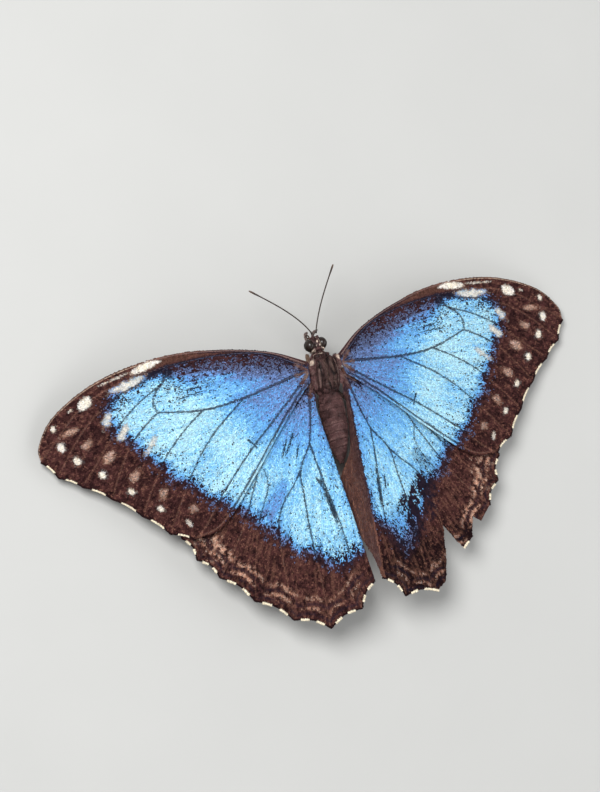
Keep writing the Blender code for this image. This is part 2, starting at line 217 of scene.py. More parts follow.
def abdomen_rings():
    """The abdomen's rings: each segment slides out of the one in front and has a rolled rim."""
    rings = []
    for segment in range(SEGMENTS):
        for part, swell in SEGMENT_RIM:
            whole = (segment + part) / SEGMENTS
            half = ABDOMEN_WAIST + ABDOMEN_SWELL * ease(0.0, 0.25, whole) \
                - ABDOMEN_TAPER * ease(0.45, 1.25, whole)
            half = half * (1.0 - 0.6 * ease(0.92, 1.0, whole)) + swell - DOWN_DEPTH
            back = ABDOMEN_START + (ABDOMEN_END - ABDOMEN_START) * whole
            rings.append(body_ring(back, ABDOMEN_HEIGHT - ABDOMEN_DROOP * whole ** 1.1, half,
                                   half * 0.98, half * 1.03, ABDOMEN_GROOVE))
    rings.append(body_ring(ABDOMEN_END, ABDOMEN_HEIGHT - ABDOMEN_DROOP, *ABDOMEN_TIP))
    return rings


def fused(shapes):
    """One closed skin over shapes that run into each other."""
    points, corners = joined(shapes)
    mesh = bpy.data.meshes.new("fused")
    mesh.from_pydata(points.tolist(), [], corners.tolist())
    block = bpy.data.objects.new("fused", mesh)
    bpy.context.collection.objects.link(block)
    remesh = block.modifiers.new("remesh", "REMESH")
    remesh.mode = "VOXEL"
    remesh.voxel_size = SKIN_VOXEL
    smooth = block.modifiers.new("smooth", "SMOOTH")
    smooth.factor = 0.5
    smooth.iterations = SKIN_SMOOTHING
    made = block.evaluated_get(bpy.context.evaluated_depsgraph_get()).data
    made.calc_loop_triangles()
    points = np.zeros(len(made.vertices) * 3)
    corners = np.zeros(len(made.loop_triangles) * 3, int)
    made.vertices.foreach_get("co", points)
    made.loop_triangles.foreach_get("vertices", corners)
    bpy.data.objects.remove(block, do_unlink=True)
    return points.reshape(-1, 3), corners.reshape(-1, 3)


class Wire:
    """One socket of a material. Maths on wires adds the Math nodes that it needs."""

    def __init__(self, tree, socket):
        self.tree = tree
        self.socket = socket

    def node(self, kind, settings, sockets, out=0):
        """Any node: its settings first, then its sockets' values or links."""
        made = self.tree.nodes.new(kind)
        for name, value in settings.items():
            if name == "stops":
                while len(made.color_ramp.elements) < len(value):
                    made.color_ramp.elements.new(0.5)
                for element, (place, colour) in zip(made.color_ramp.elements, value):
                    element.position = place
                    element.color = (*colour, 1.0)
            else:
                setattr(made, name, value)
        for name, value in sockets.items():
            if isinstance(value, Wire):
                self.tree.links.new(value.socket, made.inputs[name])
            elif isinstance(value, tuple) and made.inputs[name].type == "RGBA":
                made.inputs[name].default_value = (*value, 1.0)
            else:
                made.inputs[name].default_value = value
        return Wire(self.tree, made.outputs[out])

    def maths(self, operation, first, second):
        return self.node("ShaderNodeMath", {"operation": operation}, {0: first, 1: second})

    def __add__(self, other):
        return self.maths("ADD", self, other)

    def __sub__(self, other):
        return self.maths("SUBTRACT", self, other)

    def __mul__(self, other):
        return self.maths("MULTIPLY", self, other)

    def __rsub__(self, other):
        return self.maths("SUBTRACT", other, self)

    __radd__ = __add__
    __rmul__ = __mul__

    def mark(self, name):
        """The value of one of the mesh's markings."""
        return self.node("ShaderNodeAttribute", {"attribute_name": name}, {}, "Fac")

    def noise(self, scale, detail=3.0):
        """Cloudy values round 0.5, finer with a greater scale."""
        place = self.node("ShaderNodeTexCoord", {}, {}, "Object")
        return self.node("ShaderNodeTexNoise", {}, {"Vector": place, "Scale": scale, "Detail": detail})

    def blend(self, share, first, second):
        """A colour that goes from the first to the second."""
        return self.node("ShaderNodeMix", {"data_type": "RGBA"}, {0: share, 6: first, 7: second}, 2)

    def lit(self, colour, strength):
        """A colour made darker or lighter by a wire."""
        return self.node("ShaderNodeVectorMath", {"operation": "SCALE"}, {0: colour, 3: strength})

    def bump(self, height, depth, strength=1.0):
        """A normal that carries small relief, this deep in metres."""
        return self.node("ShaderNodeBump", {}, {"Height": height, "Distance": depth,
                                                "Strength": strength})


def new_finish(name, **fixed):
    """A material with fixed values on its shader, as the material, its shader and a first wire."""
    made = bpy.data.materials.new(name)
    made.use_nodes = True
    shader = made.node_tree.nodes["Principled BSDF"]
    for socket, value in fixed.items():
        shader.inputs[socket.replace("_", " ")].default_value = value
    return made, shader, Wire(made.node_tree, shader.outputs[0])


def feed(shader, wire_by_socket):
    """Links wires to the shader's sockets."""
    for socket, wire in wire_by_socket.items():
        wire.tree.links.new(wire.socket, shader.inputs[socket])


def piece(name, shape, finish, marks, plan=None, smooth=True, replaces=()):
    """A shape as an object that rides with the body, with its markings and its flat plan."""
    points, corners = shape
    mesh = bpy.data.meshes.new(name)
    mesh.vertices.add(len(points))
    mesh.vertices.foreach_set("co", (points * MM).astype(np.float32).ravel())
    mesh.loops.add(corners.size)
    mesh.loops.foreach_set("vertex_index", np.ascontiguousarray(corners, np.int32).ravel())
    mesh.polygons.add(len(corners))
    mesh.polygons.foreach_set("loop_start", np.arange(0, corners.size, 3, dtype=np.int32))
    mesh.update(calc_edges=True)
    for key, values in marks.items():
        values = np.broadcast_to(values, len(points)).astype(np.float32)
        mesh.attributes.new(key, "FLOAT", "POINT").data.foreach_set("value", values)
    if plan is not None:
        layer = mesh.uv_layers.new(name="OFBake")
        layer.data.foreach_set("uv", plan[corners].astype(np.float32).ravel())
    if smooth:
        mesh.shade_smooth()
    made = bpy.data.objects.new(name, mesh)
    bpy.context.collection.objects.link(made)
    mesh.materials.append(finish)
    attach(made, "root")
    if replaces:
        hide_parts(*replaces)


EYE_CENTRE = np.array((1.58, -5.4, -2.5))
EYE_RADII = np.array((1.28, 1.5, 1.72))
# Pale dots of the head, the collar and the wing hoods: place, reach and strength.
PALE_DOTS = (((3.05, -1.3, 0.95), 0.62, 1.0), ((0.0, -5.95, -0.7), 0.34, 1.0),
             ((0.48, -5.1, -0.6), 0.3, 0.8), ((0.0, -6.85, -1.6), 0.3, 0.9),
             ((0.95, -3.75, -1.15), 0.34, 0.6), ((1.25, -3.0, -1.1), 0.4, 0.9),
             ((0.3, -2.95, -0.75), 0.3, 0.6), ((1.9, -2.6, -0.9), 0.3, 0.5), ((1.6, 2.9, 1.0), 0.28, 0.5))
DARK, BROWN = (0.010, 0.004, 0.004), (0.170, 0.084, 0.082)
OLIVE, CREAM = (0.120, 0.078, 0.062), (0.80, 0.64, 0.52)


def from_root(points):
    """Places on the body from the wing roots: across, out to either side, back and up."""
    x, back, height = (points - ROOT).T
    return x, np.abs(x), back, height


def from_eye(side, back, height):
    """How far places are from the middle of an eye, where its surface is at 1."""
    return np.linalg.norm((np.stack((side, back, height), -1) - EYE_CENTRE) / EYE_RADII, axis=-1)


def body_marks(points):
    """The markings of skin and hair: pale dots and lines, olive streaks of painted highlight, warm brown
    sides.
    """
    x, side, back, height = from_root(points)
    rag = mottle(0.3, 5, x, back, height)
    long = mottle(0.45, 9, x * 1.6, back * 0.4, height)
    cloud = mottle(1.3, 23, 0.8 * back + 0.9 * x, 0.9 * back - 0.7 * x, height + 0.4 * back)
    long = np.where(back > ABDOMEN_START, 0.5 + 0.7 * (cloud - 0.5), long)
    # Pale: the dots, the collar, the rim of the eyes and the seam of the wing hoods.
    folded = np.stack((side, back, height), -1)
    to_eye = from_eye(side, back, height)
    pale = np.zeros(len(points))
    for at, reach, strength in PALE_DOTS:
        apart = np.linalg.norm(folded - at, axis=-1) + 0.25 * (rag - 0.5)
        pale = np.maximum(pale, strength * ease(reach, reach * 0.55, apart))
    collar = near(back, -3.05, 0.2) * ease(-1.9, -1.2, height) * ease(0.45, 0.7, rag)
    rim = 0.8 * near(to_eye, 1.13, 0.14) * ease(-4.5, -4.1, back) + 0.75 * near(to_eye, 1.12, 0.1) * (x < 0)
    plate = 2.3 + 0.12 * (back - 1.5) * (back < 1.5)
    seam = near(side, plate, 0.28) * ease(-1.4, -0.6, back) * ease(5.2, 4.2, back)
    seam = seam * ease(-0.9, 0.2, height) * ease(0.15, 0.5, long)
    pale = np.maximum(np.maximum(pale, 0.3 * collar), np.maximum(rim, 0.14 * seam))
    # Painted highlight: lighter olive streaks run along the back of the thorax where the hair catches the
    # light, centred a little right of the middle; each ring behind has a worn edge.
    trunk = ease(-2.0, -1.0, back) * ease(6.2, 4.6, back) * ease(-0.6, 0.4, height)
    highlight_streaks = trunk * (0.25 + 0.75 * near(np.abs(x + 0.3), 0.75, 0.6)) * ease(plate - 0.2, plate - 0.7, side)
    segment = (back - ABDOMEN_START) / (ABDOMEN_END - ABDOMEN_START) * SEGMENTS + 0.3 * (cloud - 0.5)
    hind = back > ABDOMEN_START + 0.6
    edge = hind * near(segment % 1.0, 0.8, 0.26) * ease(0.3, 0.9, long)
    dark = hind * near(segment % 1.0, 0.04, 0.1) * ease(0.1, 0.6, rag)
    # Warm brown spreads low on the sides and over the crown, and dark gutters run beside the back.
    crown = near(back, -4.35, 0.4) * ease(-1.6, -0.9, height) * (side < 1.6)
    low = np.where(back > 6.3, ease(-3.4, -4.6, height + 0.2 * (back - 6.3)), ease(-0.8, -2.6, height))
    low = np.where(back < -3.2, ease(-3.3, -4.3, height), low)
    flank = (back > -1.9) * (back < 7.5) * near(side, 3.3, 1.0) * ease(-2.2, -0.2, height)
    gutter = near(side, plate - 0.3, 0.3) * ease(-0.9, 0.2, height) + 0.8 * near(side, plate + 0.35, 0.25)
    gutter = gutter * (back > -1.5) * (back < 5.5)
    warm = 0.26 + 0.7 * low + 0.8 * flank + 0.6 * seam + 0.5 * crown + 0.26 * hind + 0.25 * edge
    # The olive marking carries the painted highlight of the streaks, and the worn edges of the rings.
    return {"pale": np.clip(pale + 0.05 * edge + 0.1 * flank * (rag > 0.6), 0, 1),
            "olive": np.clip(0.8 * highlight_streaks * ease(0.1, 0.8, long) + 0.1 * edge, 0, 1) * (1 - 0.7 * gutter),
            "warm": np.clip(warm + 0.9 * (long - 0.5), 0, 1) * (1 - 0.8 * dark) * (1 - 0.75 * gutter)}


def body_colour(wire):
    """The colour that the markings give to skin and hair alike."""
    colour = wire.blend(wire.mark("warm"), DARK, BROWN)
    colour = wire.blend(wire.mark("olive"), colour, OLIVE)
    return wire.blend(wire.mark("pale"), colour, CREAM)


horny, shader, wire = new_finish("body_skin", Specular_IOR_Level=0.4)
clouds = wire.noise(900.0)
pits = wire.node("ShaderNodeTexVoronoi", {}, {"Scale": 5200.0, "Vector": wire.node(
    "ShaderNodeTexCoord", {}, {}, "Object")})
feed(shader, {"Base Color": wire.lit(body_colour(wire), 0.45 + clouds * 0.7),
              "Roughness": 0.42 + clouds * 0.3,
              "Normal": wire.bump(pits * 0.6 + clouds * 0.4, 0.00004)})
trunk = fused([sunk(THORAX, HAIR_DEPTH), sunk(COLLAR, COLLAR_DEPTH), loft(abdomen_rings()), *bulges()])
piece("trunk_skin", trunk, horny, body_marks(trunk[0]),
      replaces=("head", "prothorax", "thorax", "abdomen"))

# ---------------------------------------------------------------- hair and down
# Fine flattened hair clothes the head and the thorax and lies backwards, longest on the
# flanks and round the wing hinges. The abdomen wears short scales that lie flat on its rings.

BODY_SPAN, BODY_AHEAD = 36.0, 10.0    # length that the unwrap covers, and its part before the roots
AXIS_HEIGHT, AXIS_DROOP = -1.9, 0.22    # of the line that it turns round, which sinks from 5 mm back
HAIR_POINTS = 7
HAIR = np.array(((0, 1, 4), (0, 4, 3), (1, 2, 5), (1, 5, 4), (2, 0, 3), (2, 3, 5),
                 (3, 4, 6), (4, 5, 6), (5, 3, 6), (0, 2, 1)))
HAIR_PATCH = np.array([(-4, 0), (4, 0), (0, 1), (-4, 6), (4, 6), (0, 7), (0, 14)]) * 0.0002
HAIR_RISE = (0.0, 0.0, 0.1, 0.5, 0.5, 0.6, 1.0)    # how near each point of a hair is to its tip
HAIR_KEEL = 0.7                    # height of its ridge for each half width
HAIR_SUNK = 0.02
HAIR_STRAY, LIFT_STRAY = 0.16, 6.0    # how unlike they lie, sideways and in degrees upwards
LONG_RANGE, WIDE_RANGE = (0.75, 1.2), (0.8, 1.2)    # and how unlike their lengths and widths are
COAT_APART = 0.121
HAIR_WIDE, DOWN_WIDE = 0.085, 0.13
COAT_JOIN = 6.6                    # how far back the hair gives way to scales
FORE_END, REAR_START = 6.9, 6.4    # the two coats overlap there
EYE_CLEAR = 1.04


def roots_on(skin, apart, luck):
    """Random places about this far apart on a skin, and the outward direction at each."""
    points, corners = skin
    a, b, c = (points[corners[:, k]] for k in range(3))
    cross = np.cross(b - a, c - a)
    area = np.linalg.norm(cross, axis=1)
    picked = luck.choice(len(corners), int(area.sum() / 2 / apart ** 2), p=area / area.sum())
    one, two = luck.random((2, len(picked), 1))
    over = one + two > 1
    one, two = np.where(over, 1 - one, one), np.where(over, 1 - two, two)
    a, b, c = a[picked], b[picked], c[picked]
    return a + (b - a) * one + (c - a) * two, cross[picked] / area[picked, None]


def hairs(roots, outward, way, long, wide, lift, luck):
    """Thin blades of three sides that taper to a point and bend back down towards the skin."""
    count = len(roots)
    way = way - outward * (way * outward).sum(1, keepdims=True)
    way /= np.linalg.norm(way, axis=1, keepdims=True)
    across = np.cross(outward, way)
    stray = luck.normal(0.0, HAIR_STRAY, (count, 1))
    way, across = way + across * stray, across - way * stray
    rise = np.radians(lift + luck.normal(0.0, LIFT_STRAY, count))[:, None]
    long = (long * luck.uniform(*LONG_RANGE, count))[:, None]
    half = (wide * luck.uniform(*WIDE_RANGE, count))[:, None] / 2
    middle = roots + (way * np.cos(rise) + outward * np.sin(rise)) * long * 0.5
    tip = middle + (way * np.cos(rise * 0.2) + outward * np.sin(rise * 0.2)) * long * 0.5
    foot = roots - outward * HAIR_SUNK
    points = []
    for at in (foot, middle):
        points += [at + across * half, at - across * half, at + outward * half * HAIR_KEEL]
    points = np.stack((*points, tip), 1).reshape(-1, 3)
    corners = (np.arange(count)[:, None, None] * HAIR_POINTS + HAIR).reshape(-1, 3)
    return points, facing_out(points, corners)


def hair_plan(flat):
    """Each hair as a small patch at its root's place on the unwrap."""
    return (flat[:, None] + HAIR_PATCH).reshape(-1, 2)


def round_body(points):
    """The unwrap of the trunk: along it, and round it from the belly."""
    x, _, back, height = from_root(points)
    axis = AXIS_HEIGHT - AXIS_DROOP * np.maximum(back - 5.0, 0.0)
    return np.stack(((back + BODY_AHEAD) / BODY_SPAN,
                     np.arctan2(x, height - axis) / math.tau + 0.5), -1)


def hair_marks(marks, luck):
    """Markings at the roots passed to every point of each hair, with its luck and its tip."""
    count = len(next(iter(marks.values())))
    marks = {key: np.repeat(values, HAIR_POINTS) for key, values in marks.items()}
    marks["grain"] = np.repeat(luck.random(count), HAIR_POINTS)
    marks["tip"] = np.tile(HAIR_RISE, count)
    return marks


def coat_root_shade_and_grain(wire):
    """Painted shade: hair is darker towards its root, where the hairs shade each other, and no two are alike.
    """
    return (0.6 + wire.mark("grain") * 0.75) * (0.6 + wire.mark("tip") * 0.65)


hairy, shader, wire = new_finish("body_hair", Specular_IOR_Level=0.1)
feed(shader, {"Base Color": wire.lit(body_colour(wire), coat_root_shade_and_grain(wire)),
              "Roughness": 0.62 - wire.mark("grain") * 0.25,
              "Normal": wire.bump(wire.noise(9000.0, 2.0), 0.00001)})
luck = np.random.default_rng(7)
roots, outward = roots_on(trunk, COAT_APART, luck)
x, side, back, height = from_root(roots)
fore = (back < FORE_END) & (from_eye(side, back, height) > EYE_CLEAR)
for label, chosen in (("coat_fore", fore), ("coat_abdomen", back > REAR_START)):
    at, out = roots[chosen], outward[chosen]
    x, side, back, height = from_root(at)
    face = ease(-5.3, -6.4, back)
    hinge = ease(2.0, 3.4, side)
    way = np.stack((0.35 * np.sign(x) * ease(0.6, 3.0, side), 1.0 - 2.0 * face,
                    -0.2 + 0.9 * face - 0.5 * hinge), -1)
    flank = ease(0.9, 1.9, side) * ease(22.0, 15.0, back)
    furry = back < COAT_JOIN
    long = 0.42 + 0.35 * hinge + 0.2 * ease(0.0, -3.0, height) - 0.16 * ease(-3.2, -4.6, back)
    long = np.where(furry, long, 0.32 + (0.3 + 0.5 * ease(10.5, COAT_JOIN, back)) * flank)
    wide = np.where(furry, HAIR_WIDE, DOWN_WIDE)
    lift = np.where(furry, 17.0 + 12.0 * hinge, 8.0 + 20.0 * flank)
    piece(label, hairs(at, out, way, long, wide, lift, luck), hairy,
          hair_marks(body_marks(at), luck), hair_plan(round_body(at)), smooth=False)

# --------------------------------------------------------------- compound eyes
# Each eye is a dark dome of some thousands of lenses, each a small raised facet that
# catches its own spark of light, set in a pale rim of scales. Each lens also carries a painted
# glint at its middle, and painted shade darkens the hollows between the lenses.

LENS_FINENESS = 5
LENS_HOLLOW = 0.985                # height of the hollows between lenses for each radius
EYE_DEPTH = 0.04                   # how far the lenses lie inside the solid of the eye


def lenses(centre, radii):
    """An ellipsoid of six-sided facets, each raised at its middle."""
    bm = bmesh.new()
    bmesh.ops.create_icosphere(bm, subdivisions=LENS_FINENESS, radius=1.0)
    bm.verts.ensure_lookup_table()
    middles = np.array([vert.co for vert in bm.verts])
    hollows = np.array([face.calc_center_median() for face in bm.faces])
    hollows *= LENS_HOLLOW / np.linalg.norm(hollows, axis=1, keepdims=True)
    bm.faces.index_update()
    count = len(middles)
    corners = []
    for edge in bm.edges:
        one, two = (face.index + count for face in edge.link_faces)
        corners += [(edge.verts[0].index, one, two), (edge.verts[1].index, two, one)]
    bm.free()
    points = np.concatenate((middles, hollows))
    corners = np.array(corners)
    a, b, c = (points[corners[:, k]] for k in range(3))
    inward = np.einsum("ij,ij->i", np.cross(b - a, c - a), a) < 0
    corners[inward] = corners[inward][:, ::-1]
    return (points * radii + centre, corners), count


eye_look, shader, wire = new_finish("compound_eye", Specular_IOR_Level=0.3, Coat_Weight=0.12,
                                    Coat_Roughness=0.2)
glow = wire.blend(wire.noise(1500.0, 2.0), (0.006, 0.004, 0.003), (0.030, 0.016, 0.012))
glow = wire.blend(wire.mark("low") * 0.7, glow, (0.16, 0.10, 0.06))
# Painted glints and shade: each lens is lighter at its middle, by a random amount, and darker in its hollows.
feed(shader, {"Base Color": wire.lit(glow, 0.4 + wire.mark("grain") * 1.0 + wire.mark("lens") * 0.4),
              "Roughness": 0.42 - wire.mark("lens") * 0.24})
for side, word in ((1, "left"), (-1, "right")):
    shape, count = lenses(ROOT + EYE_CENTRE * (side, 1, 1), EYE_RADII - EYE_DEPTH)
    rest = len(shape[0]) - count
    lens = np.concatenate((np.ones(count), np.zeros(rest)))
    grain = np.concatenate((np.random.default_rng(17).random(count), np.zeros(rest)))
    low = ease(-3.0, -4.2, shape[0][:, 2] - ROOT[2])
    piece("compound_eye_" + word, shape, eye_look,
          {"lens": lens, "grain": grain, "low": low}, replaces=("eye_" + word,))

# --------------------------------------------------------- feelers, palps, tongue
# Thin horny feelers of some forty joints, each a little waisted, end in slender clubs.
# Two scaly palps stand up beside the face, and the ridged tongue lies coiled between them.

ANTENNA_SOCKET = (0.55, -7.9, -1.5)
ANTENNA_TIP = {1: (12.3, -21.6, -3.5), -1: (10.1, -23.0, -3.5)}
ANTENNA_BOW = (-0.5, -0.75, 0.7)
ANTENNA_JOINTS = 42
ANTENNA_HALF, CLUB_SWELL, SOCKET_SWELL = 0.165, 0.075, 0.09
FEELER_SIDES, MOUTH_SIDES = 10, 12
PALP = ((0.85, -6.95, -5.45), (0.95, -7.95, -5.1), (1.1, -8.4, -4.1), (1.2, -8.5, -3.0), (1.3, -8.6, -2.2))
TONGUE_CENTRE = (0.0, -6.9, -6.25)
TONGUE_START, TONGUE_GROWTH, TONGUE_TURNS = 0.42, 0.62, 1.7
TONGUE_RIDGES = 90
TONGUE_HALF, TONGUE_THICKENS = 0.15, 0.045
PALP_HALF, PALP_SWELL, PALP_TAPER = 0.24, 0.1, 0.17
PALP_SCALES = (0.3, 0.085, 14.0)   # length, width and lift in degrees
PALP_APART = 0.075


def smooth_path(knots, spacing):
    """Points about this far apart on a smooth curve through the knots."""
    knots = np.asarray(knots, float)
    padded = np.concatenate((2 * knots[:1] - knots[1:2], knots, 2 * knots[-1:] - knots[-2:-1]))
    path = [knots[:1]]
    for before, start, end, after in zip(padded, padded[1:], padded[2:], padded[3:]):
        steps = max(1, round(np.linalg.norm(end - start) / spacing))
        t = np.arange(1, steps + 1)[:, None] / steps
        path.append(0.5 * (2 * start + (end - before) * t + (2 * before - 5 * start + 4 * end - after)
                           * t ** 2 + (3 * start - before - 3 * end + after) * t ** 3))
    return np.concatenate(path)


def bar(path, radii, sides):
    """A closed round bar along a path, as thick as the radii say."""
    path = np.asarray(path, float)
    radii = np.broadcast_to(radii, len(path))
    ahead = np.gradient(path, axis=0)
    ahead /= np.linalg.norm(ahead, axis=1, keepdims=True)
    across = np.cross(ahead[0], (0.0, 0.0, 1.0) if abs(ahead[0, 2]) < 0.9 else (1.0, 0.0, 0.0))
    turn = np.arange(sides) * math.tau / sides
    rings = []
    for point, way, radius in zip(path, ahead, radii):
        across = across - way * (across @ way)
        across /= np.linalg.norm(across)
        up = np.cross(across, way)
        rings.append(point + radius * (np.cos(turn)[:, None] * across + np.sin(turn)[:, None] * up))
    return loft(rings)


def round_bar(values, sides, ends=(0, 0)):
    """A marking given for each ring of a bar, passed to its points and to its two ends."""
    return np.append(np.repeat(values, sides), ends)


def on_limb(path, roots, outward, up):
    """The way that a limb runs at each root of its hair, and the root's place on the unwrap."""
    along = np.argmin(((roots[:, None] - path) ** 2).sum(-1), 1)
    turn = np.arctan2(outward[:, 0], outward[:, up]) / math.tau + 0.5
    return np.gradient(path, axis=0)[along], np.stack((0.1 + 0.8 * along / len(path), turn), -1)


def at_body(side, points):
    """Points given out to the side, back and up from the middle of the wing roots."""
    return ROOT + np.asarray(points, float) * (side, 1, 1)


def horn_finish(name, dark, light):
    """Horn with fine cross rings: dark, lighter where the mark says, and a little glossy."""
    made, shader, wire = new_finish(name, Specular_IOR_Level=0.3)
    clouds = wire.noise(2400.0)
    colour = wire.blend(wire.mark("light"), dark, light)
    feed(shader, {"Base Color": wire.lit(colour, 0.6 + clouds * 0.8), "Roughness": 0.3 + clouds * 0.3,
                  "Normal": wire.bump(clouds, 0.00002)})
    return made


feeler_look = horn_finish("feeler_horn", (0.014, 0.009, 0.007), (0.16, 0.085, 0.045))
tongue_look = horn_finish("tongue_horn", (0.030, 0.014, 0.010), (0.20, 0.11, 0.06))
palp_look, shader, wire = new_finish("palp_scales", Specular_IOR_Level=0.4)
mauve = wire.blend(wire.mark("light"), (0.060, 0.036, 0.036), (0.50, 0.38, 0.33))
feed(shader, {"Base Color": wire.lit(mauve, coat_root_shade_and_grain(wire)),
              "Roughness": 0.6 - wire.mark("grain") * 0.2})
for side, word in ((1, "left"), (-1, "right")):
    socket, tip = at_body(side, ANTENNA_SOCKET), at_body(side, ANTENNA_TIP[side])
    steps = ANTENNA_JOINTS * 4 + 1
    part = np.linspace(0.0, 1.0, steps)[:, None]
    bow = np.array(ANTENNA_BOW) * (side, 1, 1) * np.sin(math.pi * part ** 0.7)
    path = socket + (tip - socket) * part + bow
    part = part[:, 0]
    waist = 0.5 - 0.5 * np.cos(part * ANTENNA_JOINTS * math.tau)
    radii = ANTENNA_HALF + CLUB_SWELL * ease(0.8, 0.93, part) + SOCKET_SWELL * ease(0.05, 0.0, part)
    radii = (radii - 0.16 * ease(0.965, 1.02, part)) * (0.86 + 0.14 * waist ** 0.4)
    shape = bar(path, radii, FEELER_SIDES)
    rings = ease(0.35, 0.0, waist) * 0.25 + 0.35 * ease(0.9, 0.99, part)
    under = np.tile(ease(0.2, 1.0, -np.sin(np.arange(FEELER_SIDES) * math.tau / FEELER_SIDES)), steps)
    light = np.clip(np.repeat(rings, FEELER_SIDES) + 0.12 * under, 0, 1)
    piece("feeler_" + word, shape, feeler_look, {"light": np.append(light, (0, 1))},
          replaces=("antenna_" + word,))
    path = smooth_path(at_body(side, PALP), 0.12)
    part = np.linspace(0.0, 1.0, len(path))
    radii = PALP_HALF + PALP_SWELL * near(part, 0.42, 0.5) - PALP_TAPER * ease(0.72, 1.0, part)
    for joint in (0.3, 0.75):
        radii = radii - 0.05 * near(part, joint, 0.05)
    shape = bar(path, radii, MOUTH_SIDES)
    piece("palp_skin_" + word, shape, palp_look,
          {"light": 0.3, "grain": 0.4, "tip": 0.2}, replaces=("palp_" + word,))
    roots, outward = roots_on(shape, PALP_APART, luck)
    way, plan = on_limb(path, roots, outward, 1)
    lower = ease(0.1, -0.6, outward[:, 1] * -0.4 + outward[:, 2])
    piece("palp_scales_" + word, hairs(roots, outward, way, *PALP_SCALES, luck), palp_look,
          hair_marks({"light": 0.25 + 0.6 * lower}, luck), hair_plan(plan), smooth=False)

part = np.linspace(0.0, 1.0, TONGUE_RIDGES * 3)
turn = math.tau * TONGUE_TURNS * part
reach = (TONGUE_START + TONGUE_GROWTH * turn / math.tau)[:, None]
path = at_body(1, TONGUE_CENTRE) + np.stack((0 * turn, -np.sin(turn), np.cos(turn)), -1) * reach
ridge = 0.5 - 0.5 * np.cos(part * TONGUE_RIDGES * math.tau)
shape = bar(path, (TONGUE_HALF + TONGUE_THICKENS * part) * (0.9 + 0.1 * ridge), MOUTH_SIDES)
piece("tongue", shape, tongue_look, {"light": round_bar(ridge * 0.6, MOUTH_SIDES)},
      replaces=("proboscis",))

# ------------------------------------------------------------------------- legs
# Horny legs clothed in scales: the forelegs are short brushes folded under the thorax, and
# the four walking legs end in spined, five-jointed feet with claws that rest on the floor.

FORELEG = ((1.1, -0.6, -6.25), (1.15, -1.9, -6.5), (1.1, -3.1, -6.6), (1.05, -3.5, -7.1),
           (1.05, -3.0, -7.6), (1.1, -1.7, -7.75), (1.15, -0.2, -7.7))
WALKING_LEGS = {"midleg": ((1.9, 0.4, -6.5), (8.4, -1.0, -4.8), (12.8, -1.6), (17.0, -3.6)),
                "hindleg": ((1.8, 4.0, -6.6), (7.0, 11.4, -5.2), (10.2, 19.4), (12.4, 24.2))}
LEG_SIDES, BRUSH_SIDES, CLAW_SIDES = 12, 8, 6
SHIN = ((0.03, 0.2), (0.1, 0.26), (0.45, 0.25), (0.85, 0.24), (0.97, 0.27))    # share, half thickness
FOOT_HALF = 0.17                   # half the thickness of a foot
FOOT_CLEAR, ANKLE_RISE = 0.01, 0.06
FOOT_JOINTS = (0.0, 0.44, 0.62, 0.75, 0.86, 1.0)    # where its five joints meet
JOINT_SHAPE = ((0.06, 0.72), (0.3, 0.9), (0.85, 1.0), (0.97, 0.8))
# A claw runs ahead, aside and up from the toe by these, and each is this thick.
CLAW = ((0.0, 0.12, 0.28, 0.4, 0.46), (0.03, 0.1, 0.16, 0.17, 0.15), (0.02, 0.06, 0.04, -0.05, -0.15))
CLAW_THICK = (0.055, 0.05, 0.04, 0.025, 0.008)
SPUR, SPUR_THICK = (0.0, 0.3, 0.62), (0.07, 0.05, 0.01)
# Hair and scales: how far apart, length, width, lift in degrees, and how light.
BRUSH = (0.085, 0.5, 0.06, 26.0, 0.55)
LEG_COATS = (("thigh_scales", slice(1, 8), (0.1, 0.32, 0.1, 10.0, 0.15)),
             ("shin_spines", slice(7, None), (0.16, 0.26, 0.045, 30.0, 0.3)))
FLOOR = cad_box[0].z / MM - ROOT[2]

leg_look = horn_finish("leg_horn", (0.030, 0.017, 0.012), (0.17, 0.095, 0.055))
leg_hair, shader, wire = new_finish("leg_hair", Specular_IOR_Level=0.4)
tawny = wire.blend(wire.mark("light"), (0.055, 0.031, 0.022), (0.34, 0.22, 0.15))
feed(shader, {"Base Color": wire.lit(tawny, coat_root_shade_and_grain(wire)), "Roughness": 0.65 - wire.mark("grain") * 0.2})


def clothed(name, path, radii, apart, long, wide, lift, light):
    """Hair or scales all over a limb, pointing towards its tip, but clear of the floor."""
    roots, outward = roots_on(bar(path, radii, BRUSH_SIDES), apart, luck)
    clear = (roots[:, 2] - cad_box[0].z / MM > long) | (outward[:, 2] > 0.1)
    roots, outward = roots[clear], outward[clear]
    way, plan = on_limb(path, roots, outward, 2)
    under = ease(0.2, -0.7, outward[:, 2])
    marks = hair_marks({"light": np.clip(light + 0.5 * under, 0, 1)}, luck)
    piece(name, hairs(roots, outward, way, long, wide, lift, luck), leg_hair, marks,
          hair_plan(plan), smooth=False)


def leg_line(hip, knee, ankle, toe):
    """The middle of a walking leg from the hip to the last joint of its foot, and its radii."""
    start = hip + (knee - hip) * 0.12
    stations = [(hip, 0.5), (hip + (start - hip) * 0.6, 0.46), (start, 0.33),
                (start + (knee - start) * 0.12, 0.4), (start + (knee - start) * 0.5, 0.42),
                (knee + (start - knee) * 0.08, 0.31), (knee, 0.26)]
    stations += [(knee + (ankle - knee) * share, half) for share, half in SHIN]
    for begin, end in zip(FOOT_JOINTS, FOOT_JOINTS[1:]):
        stations += [(ankle + (toe - ankle) * (begin + (end - begin) * share), thick * FOOT_HALF)
                     for share, thick in JOINT_SHAPE]
    return np.array([point for point, _ in stations]), np.array([half for _, half in stations])


